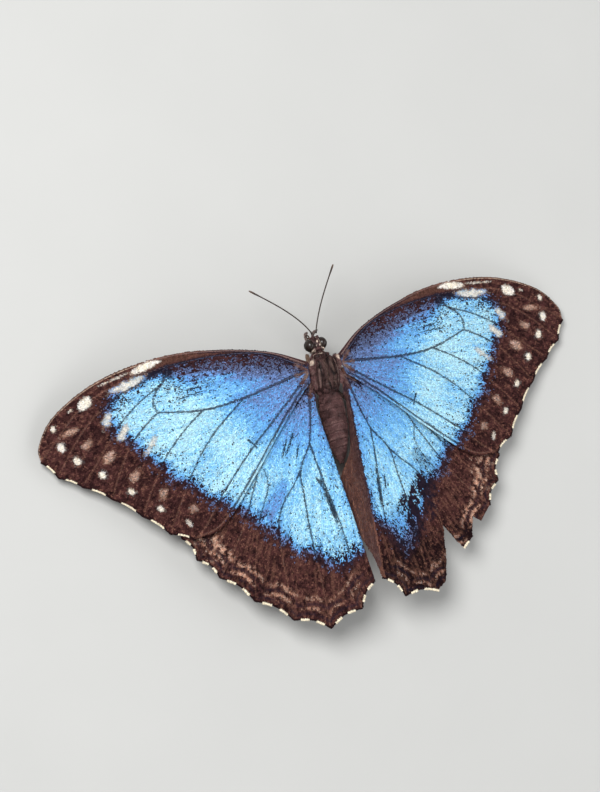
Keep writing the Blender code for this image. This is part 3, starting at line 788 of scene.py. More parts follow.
def claws_and_spurs(knee, ankle, toe):
    """The two claws at the toe and the two spurs at the ankle, each claw before its spur."""
    ahead = (toe - ankle) / np.linalg.norm(toe - ankle)
    aside = np.cross(ahead, (0, 0, 1))
    on, out, up = np.array(CLAW)[:, :, None]
    bars = []
    for lean in (-1, 1):
        claw = toe + on * ahead + lean * out * aside + up * (0, 0, 1)
        away = ahead + lean * 0.35 * aside - (0, 0, 0.05)
        spur = ankle + (knee - ankle) * 0.04 + np.array(SPUR)[:, None] * away
        bars += [bar(claw, CLAW_THICK, CLAW_SIDES), bar(spur, SPUR_THICK, CLAW_SIDES)]
    return bars


for side, word in ((1, "left"), (-1, "right")):
    path = smooth_path(at_body(side, FORELEG), 0.15)
    part = np.linspace(0.0, 1.0, len(path))
    radii = 0.24 - 0.1 * ease(0.3, 1.0, part) + 0.04 * near(part, 0.52, 0.12)
    piece("foreleg_skin_" + word, bar(path, radii, FEELER_SIDES), leg_look, {"light": 0.4},
          replaces=("foreleg_" + word,))
    clothed("foreleg_brush_" + word, path, radii, *BRUSH)
    for name, (hip, knee, (ankle_out, ankle_back), (toe_out, toe_back)) in WALKING_LEGS.items():
        hip, knee = at_body(side, (hip, knee))
        rest = FLOOR + FOOT_HALF + FOOT_CLEAR
        ankle, toe = at_body(side, ((ankle_out, ankle_back, rest + ANKLE_RISE), (toe_out, toe_back, rest)))
        path, radii = leg_line(hip, knee, ankle, toe)
        light = [round_bar(ease(0.3, 0.2, radii) * 0.5, LEG_SIDES)]
        for _ in range(2):
            light += [round_bar(np.zeros(len(CLAW_THICK)), CLAW_SIDES),
                      round_bar(np.full(len(SPUR), 0.5), CLAW_SIDES, (0.5, 0.5))]
        shape = joined([bar(path, radii, LEG_SIDES), *claws_and_spurs(knee, ankle, toe)])
        piece(f"{name}_skin_{word}", shape, leg_look, {"light": np.concatenate(light)},
              replaces=(name + "_" + word,))
        for label, stretch, coat in LEG_COATS:
            limb = smooth_path(path[stretch], 0.2)
            halves = np.interp(np.linspace(0, 1, len(limb)), np.linspace(0, 1, len(radii[stretch])),
                               radii[stretch])
            clothed(f"{name}_{label}_{word}", limb, halves, *coat)

# -------------------------------------------------------------- wing membranes
# Each wing is a thin clear skin, puckered between its veins, that springs from a hinge
# beside the thorax and droops a little. Its plan lies flat: u runs out, v forwards.
# The inner strip of a hindwing folds down beside the abdomen. The right one is torn.

ROOT_OUT = 4.14                    # from the middle of the body out to a wing root
FLATTEN = math.radians(0.063)      # a wing's slope eases by this much for each mm outwards
WING_PITCH = 0.005                 # rise of a wing for each mm forwards
MEMBRANE = 0.14
MEMBRANE_PITCH = 0.62
PLAN_U, PLAN_V = (-8.0, 70.0), (-64.0, 15.0)    # the furthest reach of any wing's plan
EDGE_STEP, FOLD_STEP = 0.8, 0.6    # spacing of points along a wing's edge and along its fold
PUCKER, PUCKER_WIDTH = 0.1, 2.6    # depth of the folds between veins, and how far a vein lifts them
CUTS = 14                          # points along one scallop of the margin
PLAN_SPAN = 74.0                   # length of wing that the unwrap covers
FOREWING = {
    "name": "forewing", "hinge": ((-0.3, 1.7), (-0.05, -2.6)), "lift": 0.0,
    "droop": math.radians(13.9), "swing": math.radians(0.9), "centre": (-9.0, 3.0),
    "corner": (3.0, 34.0),
    "costa": ((8.0, 6.5), (20.0, 10.3), (33.0, 12.2), (48.4, 10.8), (60.8, 5.6), (66.2, -0.4)),
    "tips": ((66.6, -4.0), (63.6, -8.6), (58.7, -12.2), (52.8, -16.8), (47.1, -22.6),
             (42.0, -28.3), (36.7, -31.2)),
    "scallop": 0.45,
    "inner": ((29.4, -29.9), (19.2, -20.8), (12.4, -14.0), (5.0, -6.9)),
}
HINDWING = {
    "name": "hindwing", "hinge": ((-0.05, -1.4), (-0.5, -6.4)), "lift": -1.15,
    "droop": math.radians(14.4), "swing": math.radians(-0.6), "centre": (-3.0, 6.0),
    "corner": (9.0, 63.0),
    "costa": ((8.0, -2.4), (20.0, -6.2), (30.6, -11.6), (37.8, -18.0)),
    "tips": ((40.0, -24.4), (38.6, -31.0), (36.4, -36.8), (32.2, -42.2), (25.6, -49.6),
             (17.8, -56.2), (9.8, -60.3), (1.6, -57.6), (-3.4, -52.0)),
    "scallop": 1.0,
}
CREST = ((0.9, -7.0), (-2.3, -50.0))
FOLD_WIDTH = {1: ((-45.5, 1.5), (-38.0, 3.6), (-29.0, 4.4), (-20.0, 3.8), (-12.5, 2.4)),
              -1: ((-46.5, 2.2), (-40.0, 4.9), (-31.0, 7.0), (-26.0, 7.2), (-21.0, 5.6), (-12.5, 3.2))}
FOLD_BEND = 1.2                    # length over which the strip turns down
FOLD_FRONT = math.radians(92.0)    # how steeply, beside the abdomen and then behind it
FOLD_REAR = {1: math.radians(80.0), -1: math.radians(46.0)}
FOLD_TURNS = (19.0, 30.0)          # how far back the first gives way to the second
FOLD_OPENS = (6.4, 9.5)            # and where the strip first turns down
TEAR = ((28.6, -45.4), (26.6, -43.6), (24.9, -48.2), (21.6, -50.3), (19.4, -47.2), (17.3, -43.8),
        (15.7, -52.4), (14.0, -57.0), (11.4, -58.5))
TEAR_STEP, TEAR_ROUGH = 0.45, 0.1  # length and depth of its ragged steps
# Veins as they branch, and the thickness of each where it starts and ends.
FOREWING["veins"] = (
    (0.34, 0.16, ((0.6, 1.5), (8.0, 6.2), (20.0, 10.0), (33.0, 11.9), (48.4, 10.5), (60.6, 5.4),
                  (66.0, -0.4), (66.4, -3.6))),
    (0.2, 0.08, ((1.0, 1.3), (9.0, 6.9), (20.0, 9.75), (31.0, 10.9), (42.0, 10.3))),
    (0.27, 0.08, ((0.8, 0.9), (10.0, 6.6), (20.0, 8.9), (30.0, 9.6), (37.0, 9.5), (44.0, 8.8),
                  (50.0, 7.3), (56.0, 4.4), (62.0, -0.4), (66.4, -3.8))),
    (0.16, 0.08, ((32.5, 9.3), (38.0, 7.7), (44.0, 6.3), (50.0, 3.7), (55.0, 0.4), (60.0, -4.5),
                  (63.4, -8.3))),
    (0.14, 0.08, ((34.4, 5.9), (40.0, 3.5), (45.0, 0.4), (50.0, -4.0), (55.0, -8.8), (58.5, -11.9))),
    (0.14, 0.08, ((37.0, -0.2), (42.0, -3.3), (46.0, -6.8), (50.0, -12.2), (52.6, -16.5))),
    (0.14, 0.08, ((26.5, -2.5), (30.0, -4.5), (35.0, -8.1), (39.0, -11.9), (44.0, -18.2), (46.9, -22.3))),
    (0.16, 0.08, ((16.5, -2.3), (25.0, -8.0), (30.0, -12.5), (34.5, -17.9), (39.0, -24.0), (41.8, -28.0))),
    (0.3, 0.14, ((0.5, 0.0), (8.0, -1.2), (16.5, -2.3), (26.5, -2.5), (37.0, -0.2))),
    (0.14, 0.2, ((37.0, -0.2), (37.5, 2.0), (36.4, 4.4), (34.3, 6.0), (32.6, 8.0), (32.2, 9.4))),
    (0.24, 0.08, ((0.6, -1.3), (10.0, -8.4), (17.5, -13.9), (25.0, -20.3), (29.5, -24.7), (33.5, -28.9),
                  (36.5, -30.9))),
    (0.2, 0.14, ((0.3, -2.4), (5.4, -6.4), (12.8, -13.5), (19.5, -20.2), (29.6, -29.2), (36.3, -30.7))),
)
HINDWING["veins"] = (
    (0.22, 0.1, ((0.4, -1.8), (8.0, -2.8), (20.0, -6.6), (30.4, -12.0), (37.4, -18.3), (39.5, -24.2))),
    (0.16, 0.08, ((0.6, -2.2), (8.0, -5.0), (16.0, -9.8), (25.0, -17.0), (33.0, -25.5), (38.3, -30.8))),
    (0.16, 0.08, ((8.0, -7.2), (14.0, -12.5), (20.0, -20.0), (25.0, -26.6), (28.2, -31.0), (33.0, -34.9),
                  (36.1, -36.6))),
    (0.14, 0.08, ((14.0, -12.5), (16.4, -18.5), (20.0, -25.3), (22.6, -30.0), (26.0, -35.0), (31.9, -42.0))),
    (0.07, 0.05, ((16.4, -18.5), (15.4, -22.0), (16.2, -25.2), (18.1, -28.4), (20.0, -32.0), (21.7, -36.5),
                  (23.6, -42.2), (25.4, -49.3))),
    (0.14, 0.08, ((7.5, -22.5), (10.0, -25.5), (13.0, -28.5), (15.0, -31.7), (16.1, -35.5), (16.8, -42.0),
                  (17.3, -50.0), (17.7, -55.9))),
    (0.15, 0.08, ((3.8, -16.8), (7.5, -22.5), (8.1, -28.0), (8.7, -35.0), (9.0, -42.0), (9.3, -51.0),
                  (9.8, -60.0))),
    (0.28, 0.15, ((0.6, -2.6), (1.1, -6.0), (2.1, -11.0), (3.8, -16.8))),
    (0.16, 0.08, ((3.8, -16.8), (3.3, -22.0), (2.5, -29.0), (1.5, -37.0), (1.1, -46.0), (1.6, -57.3))),
)


def scallops(tips, depth):
    """The outer margin: from vein end to vein end, drawn in by the depth between them."""
    margin = []
    for start, end in zip(np.asarray(tips, float), np.asarray(tips[1:], float)):
        chord = end - start
        inward = np.array((chord[1], -chord[0])) / np.linalg.norm(chord)
        part = np.arange(CUTS)[:, None] / CUTS
        margin.append(start + chord * part + inward * depth * np.sin(math.pi * part))
    return np.concatenate((*margin, np.asarray(tips[-1:], float)))


def torn_edge(luck):
    """The torn margin: short ragged steps along the line of the tear."""
    line = np.array(TEAR)
    cuts = [line[:1]]
    for start, end in zip(line, line[1:]):
        steps = max(2, round(np.linalg.norm(end - start) / TEAR_STEP))
        part = np.arange(1, steps + 1)[:, None] / steps
        ragged = luck.normal(0.0, TEAR_ROUGH, (steps, 2)) * (part < 1)
        cuts.append(start + (end - start) * part + ragged)
    return np.concatenate(cuts)


def wing_margin(wing, side):
    """A wing's edge, and the stretches of its outer margin that still have their fringe."""
    hinge_front, hinge_rear = wing["hinge"]
    tips, depth = wing["tips"], wing["scallop"]
    costa = smooth_path((hinge_front, *wing["costa"], tips[0]), EDGE_STEP)
    outer = [scallops(tips, depth)]
    if wing is FOREWING:
        inner = smooth_path((tips[-1], *wing["inner"], hinge_rear), EDGE_STEP)
    else:
        fold = [(crest_out(v) - width, v) for v, width in FOLD_WIDTH[side]]
        inner = smooth_path((tips[-1], *fold, hinge_rear), FOLD_STEP)
    if wing is FOREWING or side > 0:
        return np.concatenate((costa[:-1], outer[0][:-1], inner[:-1])), outer
    outer = [scallops(tips[:4], depth), np.array(TEAR[2:4]), scallops((TEAR[-1], *tips[7:]), depth)]
    torn = torn_edge(np.random.default_rng(11))
    last_whole = outer[0][-1]
    break_off = last_whole + (torn[0] - last_whole) * (np.arange(8)[:, None] / 8)
    return np.concatenate((costa[:-1], outer[0][:-1], break_off, torn[:-1], outer[2][:-1],
                           inner[:-1])), outer


def crest_out(v):
    """How far out the crest of a hindwing's fold lies, at this place along v."""
    (front_u, front_v), (rear_u, rear_v) = CREST
    return front_u + (rear_u - front_u) * (v - front_v) / (rear_v - front_v)


def lay(wing, side, u, v):
    """Where points of a wing's plan lie on the held wing."""
    folded = 0.0 * u
    if wing is HINDWING:
        folded = np.maximum(crest_out(v) - u, 0.0) * (v < CREST[0][1] + 0.8)
        u = u + folded
    sine, cosine = math.sin(wing["swing"]), math.cos(wing["swing"])
    out = u * cosine + side * v * sine
    forward = v * cosine - side * u * sine
    slope = wing["droop"] - FLATTEN * out
    level = (math.sin(wing["droop"]) - np.sin(slope)) / FLATTEN
    drop = (np.cos(slope) - math.cos(wing["droop"])) / FLATTEN
    turn = FOLD_FRONT + (FOLD_REAR[side] - FOLD_FRONT) * ease(*FOLD_TURNS, -v)
    turn = turn * (0.02 + 0.98 * ease(*FOLD_OPENS, -v))
    bent = np.minimum(folded, FOLD_BEND)
    angle = turn * bent / FOLD_BEND
    level = level - FOLD_BEND / turn * np.sin(angle) - (folded - bent) * np.cos(turn)
    drop = drop + FOLD_BEND / turn * (1.0 - np.cos(angle)) + (folded - bent) * np.sin(turn)
    return ROOT + np.stack((side * (ROOT_OUT + level), -forward,
                            wing["lift"] - drop + WING_PITCH * forward), -1)


def beside(path, u, v):
    """How far points are from a path, and how far along it, in points of the path, they lie."""
    apart, along = np.full(u.shape, 1e9), np.zeros(u.shape)
    for i, ((au, av), (bu, bv)) in enumerate(zip(path, path[1:])):
        du, dv = bu - au, bv - av
        part = np.clip(((u - au) * du + (v - av) * dv) / (du * du + dv * dv), 0.0, 1.0)
        reach = np.hypot(u - au - part * du, v - av - part * dv)
        along = np.where(reach < apart, i + part, along)
        apart = np.minimum(reach, apart)
    return apart, along


def depth_in(outline, u, v):
    """How far inside a closed outline points lie, and below zero outside it."""
    outline = np.asarray(outline, float)
    inside = np.zeros(u.shape, bool)
    for (au, av), (bu, bv) in zip(outline, np.roll(outline, -1, 0)):
        if av != bv:
            inside ^= ((av > v) != (bv > v)) & (u < (bu - au) * (v - av) / (bv - av) + au)
    apart = beside(np.concatenate((outline, outline[:1])), u, v)[0]
    return np.where(inside, apart, -apart)


def vein_paths(wing, margin):
    """The veins as smooth paths that stop at the margin, each with its thicknesses along it."""
    paths = []
    for start, end, knots in wing["veins"]:
        path = smooth_path(knots, 1.0)
        part = np.linspace(0.0, 1.0, len(path))
        keep = depth_in(margin, *path.T) > 0.05
        last = len(keep) if keep[5:].all() else 5 + int(np.argmin(keep[5:]))
        paths.append((path[:last], (start + (end - start) * part ** 0.7)[:last]))
    return paths


def pucker(veins, u, v):
    """The membrane's relief: it hangs slack between veins and stands up along them."""
    nearest = np.full(u.shape, 1e9)
    for path, _ in veins:
        nearest = np.minimum(nearest, beside(path[::2], u, v)[0])
    return PUCKER * (0.5 - ease(0.0, PUCKER_WIDTH, nearest))


def place(wing, side, u, v, height, relief):
    """Points at a height over the middle of the wing, along its own upward direction."""
    step = 0.05
    across = lay(wing, side, u + step, v) - lay(wing, side, u - step, v)
    along = lay(wing, side, u, v + step) - lay(wing, side, u, v - step)
    up = np.cross(across, along) * -side
    up /= np.linalg.norm(up, axis=-1, keepdims=True)
    return lay(wing, side, u, v) + up * (height + relief)[..., None]


def plan_of(wing, u, v):
    """A wing's plan fitted into a unit square, which is the unwrap of its skin."""
    corner_u, corner_v = wing["corner"]
    return np.stack(((u + corner_u) / PLAN_SPAN, (v + corner_v) / PLAN_SPAN), -1)


def membrane(wing, side, margin, veins):
    """A closed thin skin over the wing's plan: its shape, where its points lie in the plan, and
    how many of them are on the upper side, which come first."""
    pitch = MEMBRANE_PITCH
    u, v = np.meshgrid(np.arange(*PLAN_U, pitch), np.arange(*PLAN_V, pitch * 0.866))
    u = u + (np.arange(len(u))[:, None] % 2) * pitch / 2
    u, v = u.ravel(), v.ravel()
    keep = depth_in(margin, u, v) > pitch * 0.5
    flat = np.concatenate((margin, np.stack((u[keep], v[keep]), -1)))
    edge = [(i, (i + 1) % len(margin)) for i in range(len(margin))]
    made = delaunay_2d_cdt([Vector(p) for p in flat], edge, [], 1, 1e-5)
    flat = np.array([tuple(p) for p in made[0]])
    corners = np.array([face for face in made[2] if len(face) == 3])
    u, v = flat.T
    relief = pucker(veins, u, v)
    half = MEMBRANE / 2
    points = np.concatenate((place(wing, side, u, v, half, relief), place(wing, side, u, v, -half, relief)))
    count = len(flat)
    pairs = np.concatenate((corners[:, [0, 1]], corners[:, [1, 2]], corners[:, [2, 0]]))
    seen = {tuple(pair) for pair in pairs.tolist()}
    rim = np.array([pair for pair in pairs.tolist() if (pair[1], pair[0]) not in seen])
    a, b = rim.T
    corners = np.concatenate((corners, corners[:, ::-1] + count,
                              np.stack((b, a, a + count), -1), np.stack((b, a + count, b + count), -1)))
    return (points, facing_out(points, corners)), np.tile(u, 2), np.tile(v, 2), count


# ---------------------------------------------------------------- wing markings
# The colour lies in the scales. Above, ribbed scales throw back blue light inside a
# chocolate border with white spots; below, brown scales carry cream bands and rings
# like eyes. Each marking is a share from 0 to 1 at a place on the wing's plan. The sheen
# marking paints the blue's sheen into its colour, pale cyan where the wing gleams.

# The outline of the blue, on both forewings and then on the left and the right hindwing.
BLUE_FIELD = {
    "forewing": ((-3.0, -9.0), (-4.0, 2.0), (10.0, 8.0), (20.0, 10.4), (30.0, 10.9), (36.0, 9.6), (41.0, 8.9),
                 (46.0, 8.0), (49.0, 5.2), (50.2, 1.6), (48.6, -2.8), (45.4, -6.6), (43.2, -10.4),
                 (40.2, -13.2), (38.7, -17.0), (34.9, -19.2), (32.2, -22.8), (28.4, -26.0),
                 (21.0, -34.0), (11.0, -21.5)),
    1: ((0.2, -3.0), (10.0, -3.6), (21.0, -8.5), (28.0, -17.0), (28.0, -25.0), (23.4, -29.8),
        (20.0, -34.0), (17.0, -37.5), (14.0, -40.5), (10.0, -43.4), (7.0, -46.6), (4.0, -48.2),
        (1.0, -47.4), (-6.0, -44.5), (-5.0, -30.0), (-4.0, -12.0), (-5.0, -1.0)),
    -1: ((0.2, -3.0), (10.0, -3.6), (21.0, -8.5), (27.0, -16.0), (27.0, -24.0), (24.6, -28.2),
         (21.6, -31.4), (17.6, -34.4), (15.6, -37.6), (12.4, -42.0), (9.4, -46.2), (5.4, -49.6),
         (2.4, -47.0), (0.4, -42.6), (-3.4, -38.0), (-3.8, -24.0), (-3.6, -12.0), (-5.0, -1.0)),
}
# Pale marks of the forewing: place, half length, half width, lean in degrees, strength.
FORE_PALE = (
    (37.2, 10.9, 3.4, 0.8, -9, 1.0), (44.5, 10.1, 4.2, 0.26, -8, 0.55),
    (53.0, 6.4, 1.7, 1.2, -30, 0.95), (56.6, 5.7, 0.6, 0.3, -30, 0.6),
    (61.6, 2.6, 0.62, 0.92, 10, 0.9), (61.0, -1.9, 0.72, 0.95, -20, 1.0), (58.2, -6.0, 0.75, 0.95, -25, 1.0),
    (53.5, -10.7, 0.7, 0.88, -35, 0.95), (48.0, -16.2, 0.65, 0.88, -40, 0.85),
    (42.4, -22.0, 0.55, 0.9, -30, 0.75), (37.0, -27.0, 0.45, 0.9, -20, 0.6),
)
# Its pale blue gleams at the edge of the blue, and the smoky inner row, in the same form.
FORE_GLEAM = ((48.8, 1.2, 1.6, 0.8, -52, 0.9), (45.9, -2.4, 1.9, 0.7, -46, 1.0),
              (40.7, -7.2, 2.0, 0.55, -46, 0.7), (42.0, 7.9, 3.4, 0.9, -10, 1.0))
FORE_SMOKE = ((58.2, 0.8, 2.0, 0.65, -12, 0.8), (55.0, -3.0, 1.3, 0.85, -35, 0.9),
              (51.0, -7.3, 1.6, 0.95, -35, 1.0), (46.2, -13.0, 1.6, 0.9, -42, 0.85),
              (41.0, -18.8, 1.4, 0.9, -50, 0.75), (35.0, -24.0, 1.0, 1.0, -20, 0.6))
# Dark rubs and scratches above, in the same form without a strength.
FORE_DARK = ((17.5, -13.1, 2.0, 0.22, 58), (12.0, -14.4, 0.9, 0.25, 50), (28.5, 1.7, 3.0, 0.2, -2),
             (27.5, 3.0, 2.4, 0.16, 0), (32.2, 8.3, 1.5, 1.2, 60), (34.8, 8.9, 2.4, 0.6, -8))
HIND_DARK = {
    1: ((8.3, -15.6, 3.0, 0.24, -58), (9.9, -16.6, 2.2, 0.2, -62), (7.0, -17.9, 1.8, 0.2, -68),
        (2.6, -32.0, 6.0, 0.55, 83), (3.6, -27.0, 2.4, 0.26, 70)),
    -1: ((1.9, -31.0, 4.5, 0.35, 83), (4.0, -30.0, 2.0, 0.3, 80)),
}
# Where the right hindwing is worn, and where it is rubbed down to its ground in dark streaks.
HIND_WORN = ((16.0, -27.0, 3.2, 1.6, -50),)
HIND_RUB = ((13.6, -33.0, 3.6, 1.5, 68), (15.6, -36.8, 4.8, 2.1, 72), (10.6, -36.6, 4.8, 1.8, 66),
            (7.4, -36.2, 2.4, 1.3, 60), (12.0, -41.2, 3.6, 2.2, 80))
DEEP_PATCH = ((12.4, -25.0), (15.0, -28.0), (17.6, -30.6))    # deeper blue, on the left hindwing
# Rings like eyes below: place and reach. The cream bands run from place to place, this wide each way.
BELOW_EYES = {
    "forewing": ((50.2, 2.6, 1.5), (46.6, -2.8, 2.2), (36.6, -14.4, 3.1)),
    "hindwing": ((26.4, -16.6, 4.0), (22.0, -33.0, 2.9), (15.8, -39.2, 3.5), (7.2, -44.4, 2.6)),
}
BELOW_BANDS = {
    "forewing": (((9.6, 5.4), (10.6, -0.8), 0.8), ((17.2, 8.0), (18.4, -1.8), 0.9),
                 ((23.8, 8.8), (24.6, 3.4), 0.55), ((35.6, 9.6), (39.0, 4.0), 0.8),
                 ((39.0, 4.0), (41.8, -3.0), 0.8), ((41.8, -3.0), (34.0, -8.6), 0.7),
                 ((34.0, -8.6), (28.6, -15.0), 0.8), ((28.6, -15.0), (25.4, -22.4), 0.7)),
    "hindwing": (((14.6, -5.4), (6.0, -10.2), 0.9), ((6.0, -10.2), (2.2, -18.4), 0.8),
                 ((24.6, -9.8), (17.4, -17.6), 0.9), ((17.4, -17.6), (14.2, -28.0), 0.85),
                 ((14.2, -28.0), (8.4, -33.0), 0.8), ((8.4, -33.0), (2.6, -40.0), 0.7)),
}


def ovals(marks, u, v, rag, outer=1.25, inner=0.7):
    """How far points lie in any of some ragged oval marks, fading out from inner to outer."""
    share = np.zeros(u.shape)
    for at_u, at_v, long, wide, lean, *strength in marks:
        cosine, sine = math.cos(math.radians(lean)), math.sin(math.radians(lean))
        along = (u - at_u) * cosine + (v - at_v) * sine
        across = (v - at_v) * cosine - (u - at_u) * sine
        reach = np.hypot(along / long, across / wide) + 1.0 * (rag - 0.5)
        share = np.maximum(share, ease(outer, inner, reach) * (strength[0] if strength else 1.0))
    return share


def clipped(marks):
    """Markings held between 0 and 1."""
    return {key: np.clip(values, 0, 1) for key, values in marks.items()}


def blue_depth(wing, side, u, v):
    """How far inside the outline of the blue points lie, and below zero outside it."""
    return depth_in(BLUE_FIELD["forewing" if wing is FOREWING else side], u, v)


def field(wing, veins, u, v):
    """What every marking needs: blotches, streaks along the wing, and distances."""
    centre_u, centre_v = wing["centre"]
    angle = np.arctan2(v - centre_v, u - centre_u)
    reach = np.hypot(u - centre_u, v - centre_v)
    vein = np.full(u.shape, 1e9)
    for path, thick in veins:
        apart, along = beside(path[::2], u, v)
        vein = np.minimum(vein, apart - np.interp(along, np.arange(len(thick[::2])), thick[::2]))
    edge, along = beside(scallops(wing["tips"], wing["scallop"]), u, v)
    return {"rag": mottle(1.1, 3, u, v), "fine": mottle(0.45, 4, u, v), "wide": mottle(4.0, 6, u, v),
            "streak": mottle(1.0, 8, angle * 70, reach / 7), "comb": mottle(1.0, 12, angle * 150, reach / 5),
            "vein": vein, "edge": edge, "part": along / CUTS % 1.0, "cell": along // CUTS}


def marks_above(wing, side, veins, u, v, luck):
    """The markings of the upper side; luck is one random value from 0 to 1 for each place."""
    f = field(wing, veins, u, v)
    rag, fine, comb, edge = f["rag"], f["fine"], f["comb"], f["edge"]
    inner = blue_depth(wing, side, u, v)
    share = ease(-2.8, 4.6, inner + 2.6 * (rag - 0.5) + 2.4 * (f["streak"] - 0.5))
    thin = np.exp(-np.maximum(inner, 0) / 3.0)
    share = share * (0.88 - 0.3 * thin * (0.5 + fine))
    share = share + 0.1 * np.exp(np.minimum(inner, 0) / 1.6) * (inner < 0)
    line = 0.85 * ease(0.14, 0.02, f["vein"]) * ease(-0.6, 0.4, inner)
    border = ease(0.6, -1.0, inner)
    dusk = 0.0 * u
    warm = 0.4 + 0.18 * (comb - 0.5) + 0.45 * (luck * 3.7 % 1.0 - 0.5)
    warm = warm + 0.8 * (fine - 0.5) + 0.5 * (rag - 0.5)
    rust = border * (0.2 * ease(0.5, 0.85, fine) * (luck > 0.55) + 0.14 * ease(0.14, 0.02, f["vein"]))
    if wing is FOREWING:
        # Dusk spreads from the hinge along the radial vein, and the blue thins out beyond it.
        warm = warm + 0.1
        radial = np.array(wing["veins"][2][2][:6])
        top = beside(radial, u, v)[0]
        dusk = ease(6.6, 0.8, top) * ease(38.0, 27.0, u) * ease(-2.8, 1.5, v - 0.12 * u)
        # Painted shade: near the hinge the left forewing keeps more dusk than the right.
        dusk = dusk * (1 - (0.5 if side > 0 else 0.85) * ease(16.0, 4.0, u))
        share = share * (1 - 0.42 * dusk)
        speckled = near(u, 28.0, 10.0) * near(v, 3.4, 4.8)
        share = share * (1 - 0.3 * speckled * ease(0.3, 0.7, fine))
        share = share * (1 - 0.2 * ease(38.0, 47.0, u) * ease(-4.0, 4.0, v))
        # The blue pales outwards in a painted sheen, and gleams where it meets the border.
        flow = 0.9 * u - 0.5 * v
        sheen = 0.16 + 0.78 * ease(5.0, 30.0, flow) - 1.0 * ease(4.4, -1.5, inner)
        sheen = sheen * (1 - 0.85 * dusk)
        gleam = ovals(FORE_GLEAM, u, v, rag, 1.7, 0.5)
        share, sheen = np.maximum(share, 0.9 * gleam), np.maximum(sheen, 1.1 * gleam)
        # The front edge is brown, with a rusty band along the radial vein.
        costal = (v > np.interp(u, *radial.T)) * ease(44.0, 34.0, u)
        share, sheen = share * (1 - costal), sheen * (1 - costal)
        band = costal * near(top, 1.2, 1.5)
        rust = np.maximum(rust, 0.13 * band)
        line = np.maximum(line, 0.7 * costal * ease(0.4, 0.15, top))
        # White spots in the border have loose scales round them, and a smoky row inside them.
        smoke = ovals(FORE_SMOKE, u, v, 0.2 * rag + 0.8 * fine, 1.5, 0.4) * (0.25 + 0.75 * (luck < 0.55))
        rust = np.maximum(rust, 0.85 * smoke)
        halo = ovals(FORE_PALE[5:], u, v, fine, 2.4, 0.9) * (luck < 0.45)
        pale = ovals(FORE_PALE, u, v, 0.6 * rag + 0.4 * fine) + 0.3 * smoke + 0.22 * halo + 0.7 * gleam
    else:
        # Painted sheen: the hindwing's blue pales outwards from the hinge.
        sheen = 0.3 + 0.52 * ease(4.0, 30.0, np.hypot(u, v)) - 0.85 * ease(4.4, -1.5, inner)
        share = share * (1 - 0.32 * ease(-36.0, -46.0, v) * ease(12.0, 3.0, u))
        deep = ease(2.4, 0.8, beside(DEEP_PATCH, u, v)[0]) * (side > 0)
        sheen = sheen + (0.44 - sheen) * deep
        # The strip beside the abdomen has no blue.
        strip = u < crest_out(v) - (1.0 if side > 0 else 0.3)
        share = share * ~strip
        warm = np.where(strip, 0.8 + 0.5 * (comb - 0.5), warm + 0.12)
        rust = np.where(strip, 0.16 + 0.3 * ease(0.4, 0.9, comb), rust)
        # Two rows of rusty spots follow the margin, brightest near the apex, with dusky lines.
        part, hollow = f["part"], 0.3 * np.cos(2 * math.pi * (f["part"] - 0.5))
        place_on = f["cell"] + part
        bright = 0.3 + 0.7 * ease(6.6, 3.4, place_on) * (0.55 + 0.45 * near(place_on, 3.0, 1.5))
        wave = 0.5 * (mottle(1.6, 14, u, v) - 0.5)
        first = near(edge, 2.45 + hollow + wave, 0.66) * near(part, 0.45, 0.4)
        second = near(edge, 4.7 + hollow + 2.4 * wave, 0.85) * near(part, 0.5, 0.44)
        rows = np.maximum(first, 0.8 * second) * bright * ease(0.2, 0.55, fine) * ~strip
        apex = near(u, 32.5, 5.0) * near(v, -33.5, 6.5) * ease(0.4, 0.7, rag) * ease(0.3, 0.7, fine)
        rust = np.maximum(rust, np.maximum(1.5 * rows, apex))
        pale = 0.16 * rows + 0.16 * apex
        dusky = 0.7 * near(edge, 1.35 + 0.5 * hollow, 0.5) + 0.55 * near(edge, 3.5 + hollow + wave, 0.6)
        line = np.maximum(line, dusky * ~strip * (inner < -1) * ease(0.2, 0.5, rag))
        rust = np.maximum(rust, 0.13 * border * ease(0.6, 0.95, comb) * ~strip)
        # The right one is older: dull towards the rear and rubbed down to its ground in places.
        if side < 0:
            warm = warm - 0.5 * ease(-40.0, -50.0, v) * ~strip
            share = share * (1 - 0.25 * ease(-34.0, -46.0, v))
            sheen = sheen - 0.4 * ease(-33.0, -45.0, v)
            rub = ovals(HIND_RUB, u, v, 0.5 * rag + 0.5 * fine)
            share = share * (1 - rub * ease(0.75, 0.45, 0.5 * comb + 0.5 * fine))
            line = np.maximum(line, 0.85 * rub * ease(0.6, 0.3, 0.55 * comb + 0.45 * fine))
            worn = ovals(HIND_WORN, u, v, rag)
            line, share = np.maximum(line, 0.3 * worn), share * (1 - 0.2 * worn)
    # Scratches and a grain from scale to scale come last, and the blue is whole scales or none.
    dark = FORE_DARK if wing is FOREWING else HIND_DARK[side]
    line = np.maximum(line, 0.95 * ovals(dark, u, v, fine))
    # The painted sheen varies in streaks and blotches and from scale to scale, as a painted glitter.
    sheen = sheen + 0.3 * (f["streak"] - 0.5) + 0.24 * (f["wide"] - 0.5) + 0.4 * (luck - 0.5)
    pale = np.where(pale > 0.02, pale + 0.35 * (luck - 0.5) * (pale < 0.8), 0.0)
    laid = share > 0.62 * luck + 0.38 * fine
    dusty = laid * (1 - np.clip(pale, 0, 1))
    line = np.maximum(line, 0.85 * ~laid * ease(-1.0, 3.0, inner) * (pale < 0.3) * (1 - 0.6 * dusk))
    return clipped({"blue": dusty, "sheen": sheen, "pale": pale, "rust": rust, "line": line,
                    "warm": warm, "grain": luck * 7.31 % 1.0})


